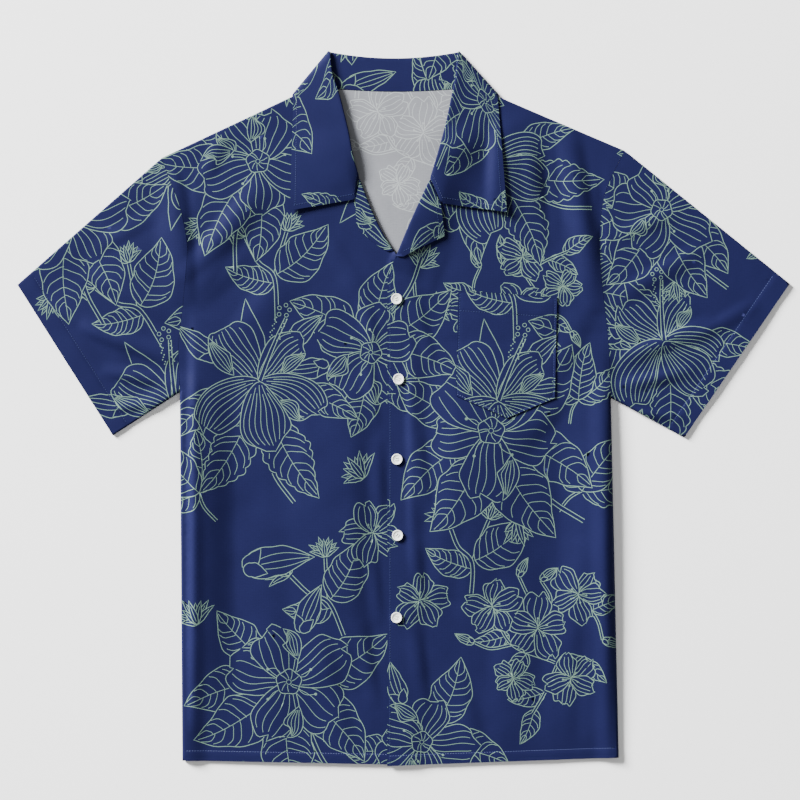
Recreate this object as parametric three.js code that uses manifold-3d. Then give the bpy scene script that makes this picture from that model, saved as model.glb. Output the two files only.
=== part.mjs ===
// Short-sleeved shirt with an open camp collar, buttoned and laid flat on its back, front up.
// Millimetres. X runs across the shirt, Y up it to the collar, Z off the surface that it lies on.
// Left and right are the wearer's, so the right front lies at -X.
import * as THREE from "three";
import { mergeVertices } from "three/addons/utils/BufferGeometryUtils.js";
import Module from "manifold-3d";

const wasm = await Module();
wasm.setup();

// Cloth and the gaps that part one layer from the next
const clothThickness = 1;
const layerGap = 0.4;
const layerStep = clothThickness + layerGap;
const seamGap = 0.3;
const armholeGap = 0.4;
const underarmRoom = { gap: 0.9, fade: 0.5 }; // more room where sleeve and side seams meet under the arm
const backLevel = clothThickness / 2; // height of the middle of the back's cloth
const frontLevel = backLevel + layerStep;

// How the cloth turns over the shirt's outline and swells beside it
const softTurn = { reach: 1, swell: 0.5 };
const fullTurn = { reach: 2.6, swell: 3 };
const ridge = { crest: 7, foot: 28 };
const fullTurnEnds = { low: 10, high: 60, inner: 250, outer: 300 };
const loft = { height: 0.9, from: 15, to: 70 };

// Plan of the two halves, a row for each corner of the outline or of a seam
const right = {
  towardsNeck: 1,
  sideHem: [-242.6, -386.3],
  underarm: [-245.3, 19.1],
  armhole: [
    [-247.3, 66],
    [-241, 127],
    [-237.4, 172],
    [-240.4, 200],
    [-247.5, 228],
    [-257, 252],
  ],
  shoulder: [-265.7, 275.4],
  cuffTop: [-424.1, 136.2],
  cuffBottom: [-319.6, -28.8],
  neckPoint: [-99.6, 353.4],
  collarCorner: [-80.5, 392.2],
  collarSide: [-120.7, 343.5],
  collarOuter: [-122.9, 284.7],
  collarPoint: [-124.1, 217.2],
  notch: [-52.8, 229.7],
  gorge: [-48.4, 253.9],
  collarRoll: [
    [-77.2, 366],
    [-71, 348.5],
    [-60.5, 306.7],
    [-55.5, 280],
  ],
  lapelRoll: [
    [-34.7, 218.7],
    [-21.5, 191.2],
  ],
  breakPoint: [-10.9, 174.2],
  lapelEnd: [-13.7, 171.1],
  lapelEdge: [
    [-28.1, 179.1],
    [-49.5, 196.2],
    [-51.7, 202.2],
  ],
  frontEdge: [[2.8, 151.5]],
  frontHem: [2.8, -391],
};
const left = {
  towardsNeck: -1,
  sideHem: [236, -383],
  underarm: [227.2, 13],
  armhole: [
    [225, 75],
    [217.8, 140],
    [215.4, 183.5],
    [218.7, 224],
    [226.6, 250.6],
  ],
  shoulder: [242.9, 283.4],
  cuffTop: [424.1, 137.3],
  cuffBottom: [308.6, -31],
  neckPoint: [79.8, 352.9],
  collarCorner: [59.1, 391.9],
  collarSide: [103.3, 342.9],
  collarOuter: [107.5, 290],
  collarPoint: [112.8, 215.4],
  notch: [40.7, 225.3],
  gorge: [28.6, 251.7],
  collarRoll: [
    [56.9, 366],
    [54, 351],
    [46.5, 315],
    [37.5, 281],
  ],
  lapelRoll: [
    [18.2, 229.7],
    [5, 200],
  ],
  breakPoint: [-8.3, 168],
  lapelEnd: [-5.4, 164.2],
  lapelEdge: [
    [18.2, 176.9],
    [36.9, 185.7],
    [45.4, 189.6],
  ],
  frontEdge: [
    [-11.6, 160.4],
    [-16, 148.3],
    [-17.7, 137.3],
  ],
  frontHem: [-17.9, -392.2],
};
const backHem = [right.sideHem, left.sideHem];
const neckSeamDip = 4.8; // how far the back neck seam sags below the two neck points
const collarTopDip = 6.8; // and the fold at the top of the collar below its corners
const overlap = { edge: 2.8, clear: 2, end: 26, fadeFrom: 170, fadeTo: 190 }; // of the upper front

// The part of the collar that hangs down behind, its lower edge an arc under the back
const collarFall = { centreX: -9, lowest: 313.2, halfWidth: 112, rise: 30 };
const collarFallClear = { near: 6, far: 46 };
const collarLift = { height: 1.6, ease: 1.5 }; // of the two points off the fronts
const neckSeamInset = 5; // from the roll line to the neck seam at the gorge
const standGap = 0.7;
const standFootEase = 4; // keeps the foot of the stand along the neck seam up to the shoulder
const gorgeGap = 0.5;

// Folds: soft ridges and troughs from one point to another
const folds = [
  { name: "right armhole ridge", from: [-236, 150], to: [-158, 246], width: 18, height: 3.2 },
  { name: "right armhole trough", from: [-239, 285], to: [-236, 196], width: 12, height: -0.9 },
  { name: "left armhole ridge", from: [180, 305], to: [212, 112], width: 17, height: 3.4 },
  { name: "left armhole trough", from: [163, 285], to: [166, 175], width: 16, height: -0.9 },
  { name: "right waist fold", from: [-70, -30], to: [-76, -262], width: 26, height: 1.2 },
  { name: "right hip fold", from: [-168, -120], to: [-150, -372], width: 30, height: 1.3 },
  { name: "right chest fold", from: [-196, 60], to: [-120, 150], width: 24, height: 1.2 },
  { name: "left waist fold", from: [118, -60], to: [96, -300], width: 28, height: 1.3 },
  { name: "left hip fold", from: [186, -150], to: [172, -374], width: 24, height: 1.2 },
  { name: "left chest fold", from: [190, 40], to: [120, -40], width: 22, height: 1.2 },
  { name: "right sleeve drag, low", from: [-250, 26], to: [-326, 40], width: 11, height: 1.8 },
  { name: "right sleeve drag, middle", from: [-252, 48], to: [-352, 88], width: 13, height: 2 },
  { name: "right sleeve drag, high", from: [-250, 92], to: [-340, 148], width: 14, height: 1.4 },
  { name: "left sleeve drag, low", from: [232, 24], to: [318, 44], width: 11, height: 1.8 },
  { name: "left sleeve drag, middle", from: [234, 52], to: [340, 96], width: 13, height: 1.8 },
  { name: "left sleeve drag, high", from: [228, 120], to: [330, 176], width: 15, height: 1.4 },
];

// Pocket on the left front
const pocket = {
  topInner: [60.2, 130.1],
  topOuter: [168.5, 122.7],
  bottomInner: [57.2, 14.7],
  point: [113.3, -10.1],
  bottomOuter: [166.1, 11.9],
  columns: 8,
  rows: 8,
};

// Buttons down the front, a row for each
const buttonPlaces = [
  { name: "button_1", x: -7.7, y: 120.8 },
  { name: "button_2", x: -5.5, y: 32.8 },
  { name: "button_3", x: -7.2, y: -55.2 },
  { name: "button_4", x: -6.6, y: -138.8 },
  { name: "button_5", x: -7.7, y: -229 },
];
const button = {
  radius: 5.9,
  height: 2.2,
  bevel: 0.6,
  rim: 1.3,
  dish: 0.7,
  holeRadius: 0.75,
  holeSpread: 1.35,
  sides: 20,
  holeSides: 6,
  seatPoints: 8,
};

// Mesh fineness: distances from an edge of the cloth, and counts of equal steps between them
const steps = {
  sideEdge: [0, 0.35, 1.3, 2.6, 8, 16, 26],
  frontEdge: [40, 22, 10, 0],
  frontMiddle: 7,
  underarm: [0, 0.35, 1.3, 2.6],
  shoulder: [1, 0.5, 0.13, 0],
  armholeMiddle: 14,
  armholeLength: 60,
  frontSideRows: 14,
  backSideRows: 3,
  frontBreakRow: 20,
  frontGorgeRow: 26,
  sleeve: 8,
  lapel: 4,
  turn: 4,
  leaf: 8,
  collarBack: 6,
};
const backColumns = [
  -212, -182, -152, -136, -119.5, -108.7, -99.6, -55, -9.6, 35, 79.8, 89, 100, 116.6, 131, 160, 195,
];
const leafColumns = [0, 0.08, 0.16, 0.25, 0.4, 0.55, 0.7, 0.85, 1];
const notchColumn = 0.25;
const standColumns = [1, 0.5];

const cloth = { color: 0x243a78, roughness: 0.85, metalness: 0 };
const buttonFinish = { color: 0xeef0ea, roughness: 0.3, metalness: 0 };

// Plan geometry
const mix = (a, b, t) => a.map((value, i) => value + (b[i] - value) * t);
const plus = (a, b, factor = 1) => a.map((value, i) => value + b[i] * factor);
const gapBetween = (a, b) => Math.hypot(b[0] - a[0], b[1] - a[1]);
const unit = (a, b) => b.map((value, i) => (value - a[i]) / gapBetween(a, b));
const smooth = (from, to, value) => THREE.MathUtils.smoothstep(value, from, to);
const spread = (from, to, count) =>
  Array.from({ length: count + 1 }, (_, i) => from + ((to - from) * i) / count);

function splineThrough(points) {
  const curve = new THREE.SplineCurve(points.map((p) => new THREE.Vector2(...p)));
  return (t) => curve.getPointAt(THREE.MathUtils.clamp(t, 0, 1)).toArray();
}

function coonsPatch({ bottom, top, start, end }) {
  return (u, v) => {
    const across = mix(bottom(u), top(u), v);
    const along = mix(start(v), end(v), u);
    const corners = mix(mix(bottom(0), bottom(1), u), mix(top(0), top(1), u), v);
    return plus(plus(across, along), corners, -1);
  };
}

// Distance to the outline where the front turns over into the back
const outline = [right, left].flatMap((half) => [
  [half.sideHem, half.underarm],
  [half.underarm, half.cuffBottom],
  [half.cuffTop, half.shoulder],
  [half.shoulder, half.neckPoint],
]);

function segmentPlace([a, b], p) {
  const length = gapBetween(a, b);
  const along = unit(a, b);
  const t = ((p[0] - a[0]) * along[0] + (p[1] - a[1]) * along[1]) / length;
  return { t, distance: gapBetween(mix(a, b, THREE.MathUtils.clamp(t, 0, 1)), p) };
}

const outlineDistance = (p) => Math.min(...outline.map((edge) => segmentPlace(edge, p).distance));

// Heights of the cloth's middle surface
function foldHeight(p) {
  return folds.reduce((sum, fold) => {
    const { t, distance } = segmentPlace([fold.from, fold.to], p);
    const across = Math.max(0, 1 - (distance / fold.width) ** 2) ** 2;
    return sum + fold.height * across * Math.sin(Math.PI * THREE.MathUtils.clamp(t, 0, 1));
  }, 0);
}

const collarFallEdge = (x) =>
  collarFall.lowest + collarFall.rise * ((x - collarFall.centreX) / collarFall.halfWidth) ** 2;

function collarRise([x, y]) {
  const edge = collarFallEdge(x);
  return layerStep * smooth(edge - collarFallClear.far, edge - collarFallClear.near, y);
}

function overlapRise([x, y]) {
  const across = 1 - smooth(overlap.edge + overlap.clear, overlap.end, x);
  return layerStep * across * (1 - smooth(overlap.fadeFrom, overlap.fadeTo, y));
}

const backBed = (p) => backLevel + collarRise(p);

function frontBed(p) {
  const rise = collarRise(p);
  const ease = loft.height * smooth(loft.from, loft.to, outlineDistance(p));
  return frontLevel + rise + Math.max(0, ease + foldHeight(p)) * (1 - rise / layerStep);
}

function turnAt([x, y]) {
  const low = 1 - smooth(fullTurnEnds.low, fullTurnEnds.high, y);
  const full = low * (1 - smooth(fullTurnEnds.inner, fullTurnEnds.outer, Math.abs(x)));
  const reach = THREE.MathUtils.lerp(softTurn.reach, fullTurn.reach, full);
  const swell = THREE.MathUtils.lerp(softTurn.swell, fullTurn.swell, full);
  return { reach, swell };
}

// Front and back heights at a point, each ending half a gap from their meeting height
function layerHeights(p, gap) {
  const distance = outlineDistance(p);
  const { reach, swell } = turnAt(p);
  const lower = backBed(p);
  const collar = 1 - collarRise(p) / layerStep;
  const upper = frontBed(p) + swell * collar * (1 - smooth(ridge.crest, ridge.foot, distance));
  const middle = (lower + upper) / 2;
  const rise = Math.sqrt(1 - (1 - Math.min(1, distance / reach)) ** 2);
  const front = middle + gap / 2 + (upper - middle - gap / 2) * rise;
  const back = middle - gap / 2 - (middle - gap / 2 - lower) * rise;
  return { front, back, middle };
}

// Middle surface of a sheet as a grid: place(column, row) gives a point, or nothing where it is bare
function gridSurface(columns, rows, place, closed = false) {
  const points = [];
  const index = [];
  for (let j = 0; j <= rows; j++)
    for (let i = 0; i < columns + (closed ? 0 : 1); i++) {
      const p = place(i, j);
      index.push(p ? points.push(new THREE.Vector3(...p)) - 1 : -1);
    }
  const width = columns + (closed ? 0 : 1);
  const at = (i, j) => index[j * width + (i % width)];
  const faces = [];
  for (let j = 0; j < rows; j++)
    for (let i = 0; i < columns; i++) {
      const [a, b, c, d] = [at(i, j), at(i + 1, j), at(i + 1, j + 1), at(i, j + 1)];
      if (Math.min(a, b, c, d) < 0) continue;
      const shorter = points[a].distanceTo(points[c]) <= points[b].distanceTo(points[d]);
      faces.push(...(shorter ? [[a, b, c], [a, c, d]] : [[a, b, d], [b, c, d]]));
    }
  return { points, faces };
}

function pointNormals({ points, faces }) {
  const normals = points.map(() => new THREE.Vector3());
  for (const face of faces) {
    const [a, b, c] = face.map((k) => points[k]);
    const flat = new THREE.Triangle(a, b, c).getNormal(new THREE.Vector3());
    face.forEach((k, corner) => {
      const next = points[face[(corner + 1) % 3]].clone().sub(points[k]);
      const last = points[face[(corner + 2) % 3]].clone().sub(points[k]);
      normals[k].addScaledVector(flat, next.angleTo(last));
    });
  }
  return normals.map((n) => n.normalize());
}

function openEdges(faces) {
  const sides = faces.flatMap(([a, b, c]) => [[a, b], [b, c], [c, a]]);
  const known = new Set(sides.map(([a, b]) => a + "_" + b));
  return sides.filter(([a, b]) => !known.has(b + "_" + a));
}

// Gives a sheet its thickness, half to each side, and closes its edges. Where it turns over at a
// seam, the edge points move out level.
const levelBelow = 0.75;

function thicken(surface, thickness = clothThickness) {
  const { points, faces } = surface;
  const normals = pointNormals(surface);
  const edges = openEdges(faces);
  for (const [k] of edges)
    if (Math.abs(normals[k].z) < levelBelow) normals[k].setZ(0).normalize();
  const count = points.length;
  const positions = [1, -1].flatMap((side) =>
    points.flatMap((p, k) => {
      const moved = p.clone().addScaledVector(normals[k], (side * thickness) / 2);
      return moved.toArray();
    }),
  );
  const walls = edges.flatMap(([a, b]) => [
    [b, a, a + count],
    [b, a + count, b + count],
  ]);
  const inner = faces.map(([a, b, c]) => [c + count, b + count, a + count]);
  const all = [...faces, ...inner, ...walls].flat();
  const geometry = new THREE.BufferGeometry();
  geometry.setAttribute("position", new THREE.Float32BufferAttribute(positions, 3));
  geometry.setIndex(all);
  return geometry;
}

// Turns a surface over where its faces point down
const turnedOver = ({ points, faces }) => ({ points, faces: faces.map(([a, b, c]) => [c, b, a]) });

function facingUp(surface) {
  const up = pointNormals(surface).reduce((sum, n) => sum + n.z, 0);
  return up > 0 ? surface : turnedOver(surface);
}

function armholeOf(half) {
  const curve = splineThrough([half.underarm, ...half.armhole, half.shoulder]);
  const points = spread(0, 1, steps.armholeLength).map(curve);
  const length = points.slice(1).reduce((sum, p, i) => sum + gapBetween(points[i], p), 0);
  const start = steps.underarm.map((d) => d / length);
  const end = steps.shoulder.map((d) => 1 - d / length);
  const middle = spread(start.at(-1), end[0], steps.armholeMiddle).slice(1, -1);
  return { curve, length, stops: [...start, ...middle, ...end] };
}

// Roll line, where cloth turns over: its middle lies inside the visible edge by the turn's radius
const turnRadius = layerStep / 2;
const turnInset = turnRadius + clothThickness / 2;
const tangentStep = 0.02; // share of the roll line on each side of the point it is measured at

function rollLine(points, towardsNeck) {
  const curve = splineThrough(points);
  return (t) => {
    const [x, y] = unit(curve(t - tangentStep), curve(t + tangentStep));
    const outward = y > 0 === towardsNeck > 0 ? [y, -x] : [-y, x];
    return { outward, middle: plus(curve(t), outward, -turnInset) };
  };
}

const lapelRollOf = (half) =>
  rollLine([half.breakPoint, ...half.lapelRoll.toReversed(), half.gorge], half.towardsNeck);
const collarRollOf = (half) =>
  rollLine([half.gorge, ...half.collarRoll.toReversed(), half.collarCorner], half.towardsNeck);

function frontNeckSeam(half) {
  const start = plus(half.gorge, [-half.towardsNeck, 0], neckSeamInset);
  const bow = plus(mix(start, half.neckPoint, 0.5), [-half.towardsNeck, 0], neckSeamInset / 2);
  return splineThrough([start, bow, half.neckPoint]);
}

// A front with its lapel turned back along the roll line. The upper front lies over the lower one.
function frontPanel(half, upper) {
  const { curve: armhole, stops } = armholeOf(half);
  const rows = steps.frontSideRows + stops.length - 1;
  const roll = lapelRollOf(half);
  const neckSeam = frontNeckSeam(half);
  const edgeLine = [half.frontHem, ...half.frontEdge.toReversed(), half.breakPoint];
  const { frontBreakRow: breakRow, frontGorgeRow: gorgeRow } = steps;
  const edgeCorners = edgeLine.length - 2;
  const straightRows = breakRow - edgeCorners;
  const seamStops = [
    ...spread(0, 1, rows - gorgeRow - steps.shoulder.length).slice(0, -1),
    ...steps.shoulder.map((d) => 1 - d / gapBetween(neckSeam(0), neckSeam(1))),
  ];
  const height = (p) => layerHeights(p, seamGap).front + (upper ? overlapRise(p) : 0);

  const sideAt = (row) =>
    row <= steps.frontSideRows
      ? mix(half.sideHem, half.underarm, row / steps.frontSideRows)
      : plus(armhole(stops[row - steps.frontSideRows]), [half.towardsNeck, 0], seamGap / 2);
  const edgeAt = (row) => {
    if (row <= straightRows) return mix(edgeLine[0], edgeLine[1], row / straightRows);
    if (row < breakRow) return edgeLine[1 + row - straightRows];
    if (row <= gorgeRow) return roll((row - breakRow) / (gorgeRow - breakRow)).middle;
    return neckSeam(seamStops[row - gorgeRow - 1]);
  };

  const lapelLine = [half.lapelEnd, ...half.lapelEdge, half.notch];
  const lapelLengths = lapelLine.slice(1).map((p, i) => gapBetween(lapelLine[i], p));
  const lapelRows = gorgeRow - breakRow;
  const lapelAt = (row) => {
    const share = ((row - breakRow) / lapelRows) * lapelLengths.reduce((a, b) => a + b);
    let rest = share;
    let k = 0;
    while (k < lapelLengths.length - 1 && rest > lapelLengths[k]) rest -= lapelLengths[k++];
    return mix(lapelLine[k], lapelLine[k + 1], rest / lapelLengths[k]);
  };

  const sideSteps = steps.sideEdge.length - 1;
  const edgeSteps = steps.frontEdge.length - 1;
  const columns = sideSteps + steps.frontMiddle + edgeSteps;
  const place = (i, row) => {
    const side = sideAt(row);
    const edge = edgeAt(row);
    const width = gapBetween(side, edge);
    if (i <= columns) {
      const across = [
        ...steps.sideEdge,
        ...spread(steps.sideEdge.at(-1), width - steps.frontEdge[0], steps.frontMiddle)
          .slice(1, -1),
        ...steps.frontEdge.map((d) => width - d),
      ];
      const p = mix(side, edge, across[i] / width);
      return [...p, height(p)];
    }
    if (row < breakRow || row > gorgeRow) return null;
    const { outward, middle } = roll((row - breakRow) / lapelRows);
    const turn = i - columns;
    if (turn < steps.turn) {
      const angle = (Math.PI * turn) / steps.turn;
      const p = plus(middle, outward, turnRadius * Math.sin(angle));
      return [...p, height(middle) + turnRadius * (1 - Math.cos(angle))];
    }
    const p = mix(middle, lapelAt(row), (turn - steps.turn) / steps.lapel);
    return [...p, height(p) + layerStep];
  };
  return facingUp(gridSurface(columns + steps.turn + steps.lapel, rows, place));
}

// The back, in one piece from side to side
function backPanel() {
  const holes = [armholeOf(right), armholeOf(left)];
  const rows = steps.backSideRows + holes[0].stops.length - 1;
  const turns = steps.sideEdge.slice(0, 4);
  const [x0, x1] = [right.shoulder[0], left.shoulder[0]];
  const tops = [...turns.map((d) => x0 + d), ...backColumns, ...turns.map((d) => x1 - d).reverse()];
  const topLine = (u) => {
    const x = x0 + (x1 - x0) * u;
    const along = (a, b) => mix(a, b, (x - a[0]) / (b[0] - a[0]));
    if (x < right.neckPoint[0]) return along(right.shoulder, right.neckPoint);
    if (x > left.neckPoint[0]) return along(left.neckPoint, left.shoulder);
    const [seamX, seamY] = along(right.neckPoint, left.neckPoint);
    const t = (x - right.neckPoint[0]) / (left.neckPoint[0] - right.neckPoint[0]);
    return [seamX, seamY - neckSeamDip * Math.sin(Math.PI * t)];
  };
  const sideAt = (half, hole, row) => {
    if (row <= steps.backSideRows) return mix(half.sideHem, half.underarm, row / steps.backSideRows);
    return plus(hole.curve(hole.stops[row - steps.backSideRows]), [half.towardsNeck, 0], seamGap / 2);
  };
  const height = right.shoulder[1] - right.sideHem[1];
  const shares = spread(0, rows, rows).map((row) => {
    const [, y] = sideAt(right, holes[0], row);
    return (y - right.sideHem[1]) / height;
  });
  const patch = coonsPatch({
    bottom: (u) => mix(...backHem, u),
    top: topLine,
    start: (v) => sideAt(right, holes[0], shares.indexOf(v)),
    end: (v) => sideAt(left, holes[1], shares.indexOf(v)),
  });
  const place = (i, row) => {
    const p = patch((tops[i] - x0) / (x1 - x0), shares[row]);
    return [...p, layerHeights(p, seamGap).back];
  };
  return facingUp(gridSurface(tops.length - 1, rows, place));
}

// A sleeve: a flattened tube from the armhole to the cuff, each ring going over the top and back
function sleeve(half) {
  const { curve: armhole, length, stops } = armholeOf(half);
  const cuff = (q) => mix(half.cuffBottom, half.cuffTop, q);
  const seam = (q) => {
    const ends = Math.min(q, 1 - q) * length;
    const room = underarmRoom.gap * Math.exp(-ends * underarmRoom.fade);
    return plus(armhole(q), unit(armhole(q), cuff(q)), armholeGap + room);
  };
  const patch = coonsPatch({
    bottom: seam,
    top: cuff,
    start: (t) => mix(seam(0), half.cuffBottom, t),
    end: (t) => mix(seam(1), half.cuffTop, t),
  });
  const across = stops.length - 1;
  const place = (i, ring) => {
    const over = i <= across;
    const stop = over ? i : 2 * across - i;
    const p = patch(stops[stop], ring / steps.sleeve);
    const heights = layerHeights(p, 0);
    if (stop === 0 || stop === across) return [...p, heights.middle];
    return [...p, over ? heights.front : heights.back];
  };
  const tube = gridSurface(2 * across, steps.sleeve, place, true);
  return half === right ? tube : turnedOver(tube);
}

// The collar: one band that stands up inside the neck, turns over at its roll line and falls
// outside it, as a leaf on each front and round behind the back
function collar() {
  const centre = (backLevel + frontLevel) / 2 + layerStep; // height that it turns about at its corners
  const standRadius = turnRadius;

  const halfParts = (half) => {
    const side = unit(half.collarSide, half.collarCorner);
    const outwards = half.towardsNeck > 0 ? [-side[1], side[0]] : [side[1], -side[0]];
    const corner = plus(half.collarCorner, side, -turnInset);
    const fallSide = half.collarSide; // on the shoulder's edge, which the fall passes round
    const standEnd = plus(half.neckPoint, unit(half.neckPoint, corner), standGap);
    const roll = collarRollOf(half);
    const bottomPoints = [roll(0).middle, half.notch, half.collarPoint];
    const clear = [-half.towardsNeck * gorgeGap, gorgeGap]; // from the lapel
    const bottom = (w) =>
      plus(
        w < notchColumn
          ? mix(bottomPoints[0], bottomPoints[1], w / notchColumn)
          : mix(bottomPoints[1], bottomPoints[2], (w - notchColumn) / (1 - notchColumn)),
        clear,
      );
    const outer = splineThrough([bottom(1), half.collarOuter, fallSide]);
    const rollMiddle = (v) => {
      if (v === 0) return bottom(0);
      return v === 1 ? corner : roll(v).middle;
    };
    const leafPatch = coonsPatch({
      bottom,
      top: (w) => mix(corner, fallSide, w),
      start: rollMiddle,
      end: outer,
    });
    const seam = frontNeckSeam(half);
    const seamShift = [half.towardsNeck * standGap, standGap];
    const standFoot = (v) =>
      v === 1 ? standEnd : mix(plus(seam(v), seamShift), standEnd, v ** standFootEase);
    return { corner, fallSide, standEnd, outwards, roll, rollMiddle, leafPatch, standFoot };
  };
  const parts = [halfParts(right), halfParts(left)];

  const turnColumns = spread(0, Math.PI, steps.turn);
  const columnCount = standColumns.length + turnColumns.length + leafColumns.length - 2;
  // Where a column lies: down the stand, round the roll, or along the fall
  const columnAt = (i) => {
    if (i < standColumns.length) return { stand: standColumns[i], radius: standRadius };
    const k = i - standColumns.length;
    if (k < turnColumns.length) {
      const radius = standRadius + turnRadius * (1 - Math.cos(turnColumns[k]));
      return { reach: turnRadius * Math.sin(turnColumns[k]), radius };
    }
    return { fall: leafColumns[k - turnColumns.length + 1], radius: standRadius + layerStep };
  };

  const stations = [];
  const addLeaf = (part, half, order) => {
    for (const k of order) {
      const v = k / steps.leaf;
      stations.push((column) => {
        let p = part.rollMiddle(v);
        let lift = 0;
        if (column.reach) p = plus(p, part.roll(v).outward, column.reach);
        if (column.stand) p = mix(p, part.standFoot(v), column.stand);
        if (column.fall) {
          p = part.leafPatch(column.fall, v);
          lift = collarLift.height * column.fall * (1 - v) ** collarLift.ease;
        }
        return [...p, frontBed(p) + column.radius - standRadius + lift];
      });
    }
  };
  const topWidth = gapBetween(parts[0].corner, parts[1].corner);
  const backOutward = (u) => [(4 * collarTopDip * (1 - 2 * u)) / topWidth, 1]; // normal to the fold
  const addTurn = (part, angles, aFront, aBack) => {
    for (const angle of angles) {
      const aim = mix(aFront, aBack, angle / Math.PI);
      const forward = aim.map((value) => value / Math.hypot(...aim));
      stations.push((column) => {
        let p = part.corner;
        if (column.reach) p = plus(p, forward, column.reach);
        if (column.stand) p = mix(p, part.standEnd, column.stand);
        if (column.fall) p = mix(p, part.fallSide, column.fall);
        p = plus(p, part.outwards, column.radius * Math.sin(angle));
        return [...p, centre + column.radius * Math.cos(angle)];
      });
    }
  };
  const addBack = () => {
    for (let k = 1; k < steps.collarBack; k++) {
      const u = k / steps.collarBack;
      const dip = [0, -4 * collarTopDip * u * (1 - u)]; // a parabola between the corners
      stations.push((column) => {
        const top = plus(mix(parts[0].corner, parts[1].corner, u), dip);
        const fallX = THREE.MathUtils.lerp(parts[0].fallSide[0], parts[1].fallSide[0], u);
        const foot = mix(parts[0].standEnd, parts[1].standEnd, u);
        let p = top;
        if (column.reach) p = plus(p, backOutward(u), column.reach);
        const sag = [0, -neckSeamDip * Math.sin(Math.PI * u)];
        if (column.stand) p = mix(p, plus(foot, sag), column.stand);
        if (column.fall) p = mix(p, [fallX, collarFallEdge(fallX)], column.fall);
        return [...p, backLevel + layerStep - (column.radius - standRadius)];
      });
    }
  };
  const inner = spread(0, Math.PI, steps.turn).slice(1);
  addLeaf(parts[0], right, spread(0, steps.leaf, steps.leaf));
  addTurn(parts[0], inner, parts[0].roll(1).outward, backOutward(0));
  addBack();
  addTurn(parts[1], inner.toReversed(), parts[1].roll(1).outward, backOutward(1));
  addLeaf(parts[1], left, spread(steps.leaf, 0, steps.leaf));

  const place = (i, station) => stations[station](columnAt(i));
  const band = gridSurface(columnCount, stations.length - 1, place);
  return turnedOver(band);
}

// Patch pocket, made from the points of the front that it lies on, moved out
function pocketPatch() {
  const patch = coonsPatch({
    bottom: (u) =>
      u < 0.5
        ? mix(pocket.bottomInner, pocket.point, u * 2)
        : mix(pocket.point, pocket.bottomOuter, u * 2 - 1),
    top: (u) => mix(pocket.topInner, pocket.topOuter, u),
    start: (v) => mix(pocket.bottomInner, pocket.topInner, v),
    end: (v) => mix(pocket.bottomOuter, pocket.topOuter, v),
  });
  const place = (i, j) => {
    const p = patch(i / pocket.columns, j / pocket.rows);
    return [...p, layerHeights(p, 0).front + overlapRise(p) + layerStep];
  };
  return facingUp(gridSurface(pocket.columns, pocket.rows, place));
}

// A closed three.js geometry as a solid, and back
function solidOf(geometry) {
  geometry.deleteAttribute("normal");
  geometry.deleteAttribute("uv");
  const merged = mergeVertices(geometry, 1e-4);
  const vertProperties = new Float32Array(merged.attributes.position.array);
  const triVerts = new Uint32Array(merged.index.array);
  return new wasm.Manifold(new wasm.Mesh({ numProp: 3, vertProperties, triVerts }));
}

function geometryOf(solid) {
  const { vertProperties, triVerts } = solid.getMesh();
  const geometry = new THREE.BufferGeometry();
  geometry.setAttribute("position", new THREE.Float32BufferAttribute(vertProperties, 3));
  geometry.setIndex([...triVerts]);
  return geometry;
}

// A button with a raised rim, a dished face and four sewing holes, its flat back at z = 0
function buttonGeometry() {
  const { radius, height, bevel, rim, dish, holeRadius, holeSpread } = button;
  const profile = [
    [0, 0],
    [radius - bevel, 0],
    [radius, bevel],
    [radius, height - bevel],
    [radius - bevel, height],
    [radius - rim, height],
    [radius - rim - dish, height - dish],
    [0, height - dish],
  ].map((p) => new THREE.Vector2(...p));
  const body = new THREE.LatheGeometry(profile, button.sides).rotateX(Math.PI / 2);
  const corners = [1, -1].flatMap((x) => [1, -1].map((y) => [x * holeSpread, y * holeSpread]));
  return geometryOf(
    corners.reduce((solid, [x, y]) => {
      const size = [holeRadius, holeRadius, height * 2, button.holeSides];
      const drill = new THREE.CylinderGeometry(...size);
      return solid.subtract(solidOf(drill.rotateX(Math.PI / 2).translate(x, y, height / 2)));
    }, solidOf(body)),
  );
}

// Height of a button's back, just clear of the cloth under its rim
function seatHeight({ x, y }) {
  const ring = spread(0, Math.PI * 2, button.seatPoints).map((angle) => [
    x + button.radius * Math.cos(angle),
    y + button.radius * Math.sin(angle),
  ]);
  const heights = [[x, y], ...ring].map((p) => layerHeights(p, 0).front + overlapRise(p));
  return Math.max(...heights) + clothThickness / 2 + seamGap;
}

// The shirt
const shirt = new THREE.Group();

function addPiece(name, geometry, finish, position = [0, 0, 0]) {
  const mesh = new THREE.Mesh(geometry, new THREE.MeshStandardMaterial(finish));
  mesh.name = name;
  mesh.position.set(...position);
  shirt.add(mesh);
}

addPiece("back", thicken(backPanel()), cloth);
addPiece("front_right", thicken(frontPanel(right, false)), cloth);
addPiece("front_left", thicken(frontPanel(left, true)), cloth);
addPiece("sleeve_right", thicken(sleeve(right)), cloth);
addPiece("sleeve_left", thicken(sleeve(left)), cloth);
addPiece("collar", thicken(collar()), cloth);
addPiece("pocket", thicken(pocketPatch()), cloth);
for (const place of buttonPlaces)
  addPiece(place.name, buttonGeometry(), buttonFinish, [place.x, place.y, seatHeight(place)]);

export default shirt;
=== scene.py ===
import math

import bmesh
import bpy
import numpy as np
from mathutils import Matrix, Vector
from mathutils.geometry import delaunay_2d_cdt


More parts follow.
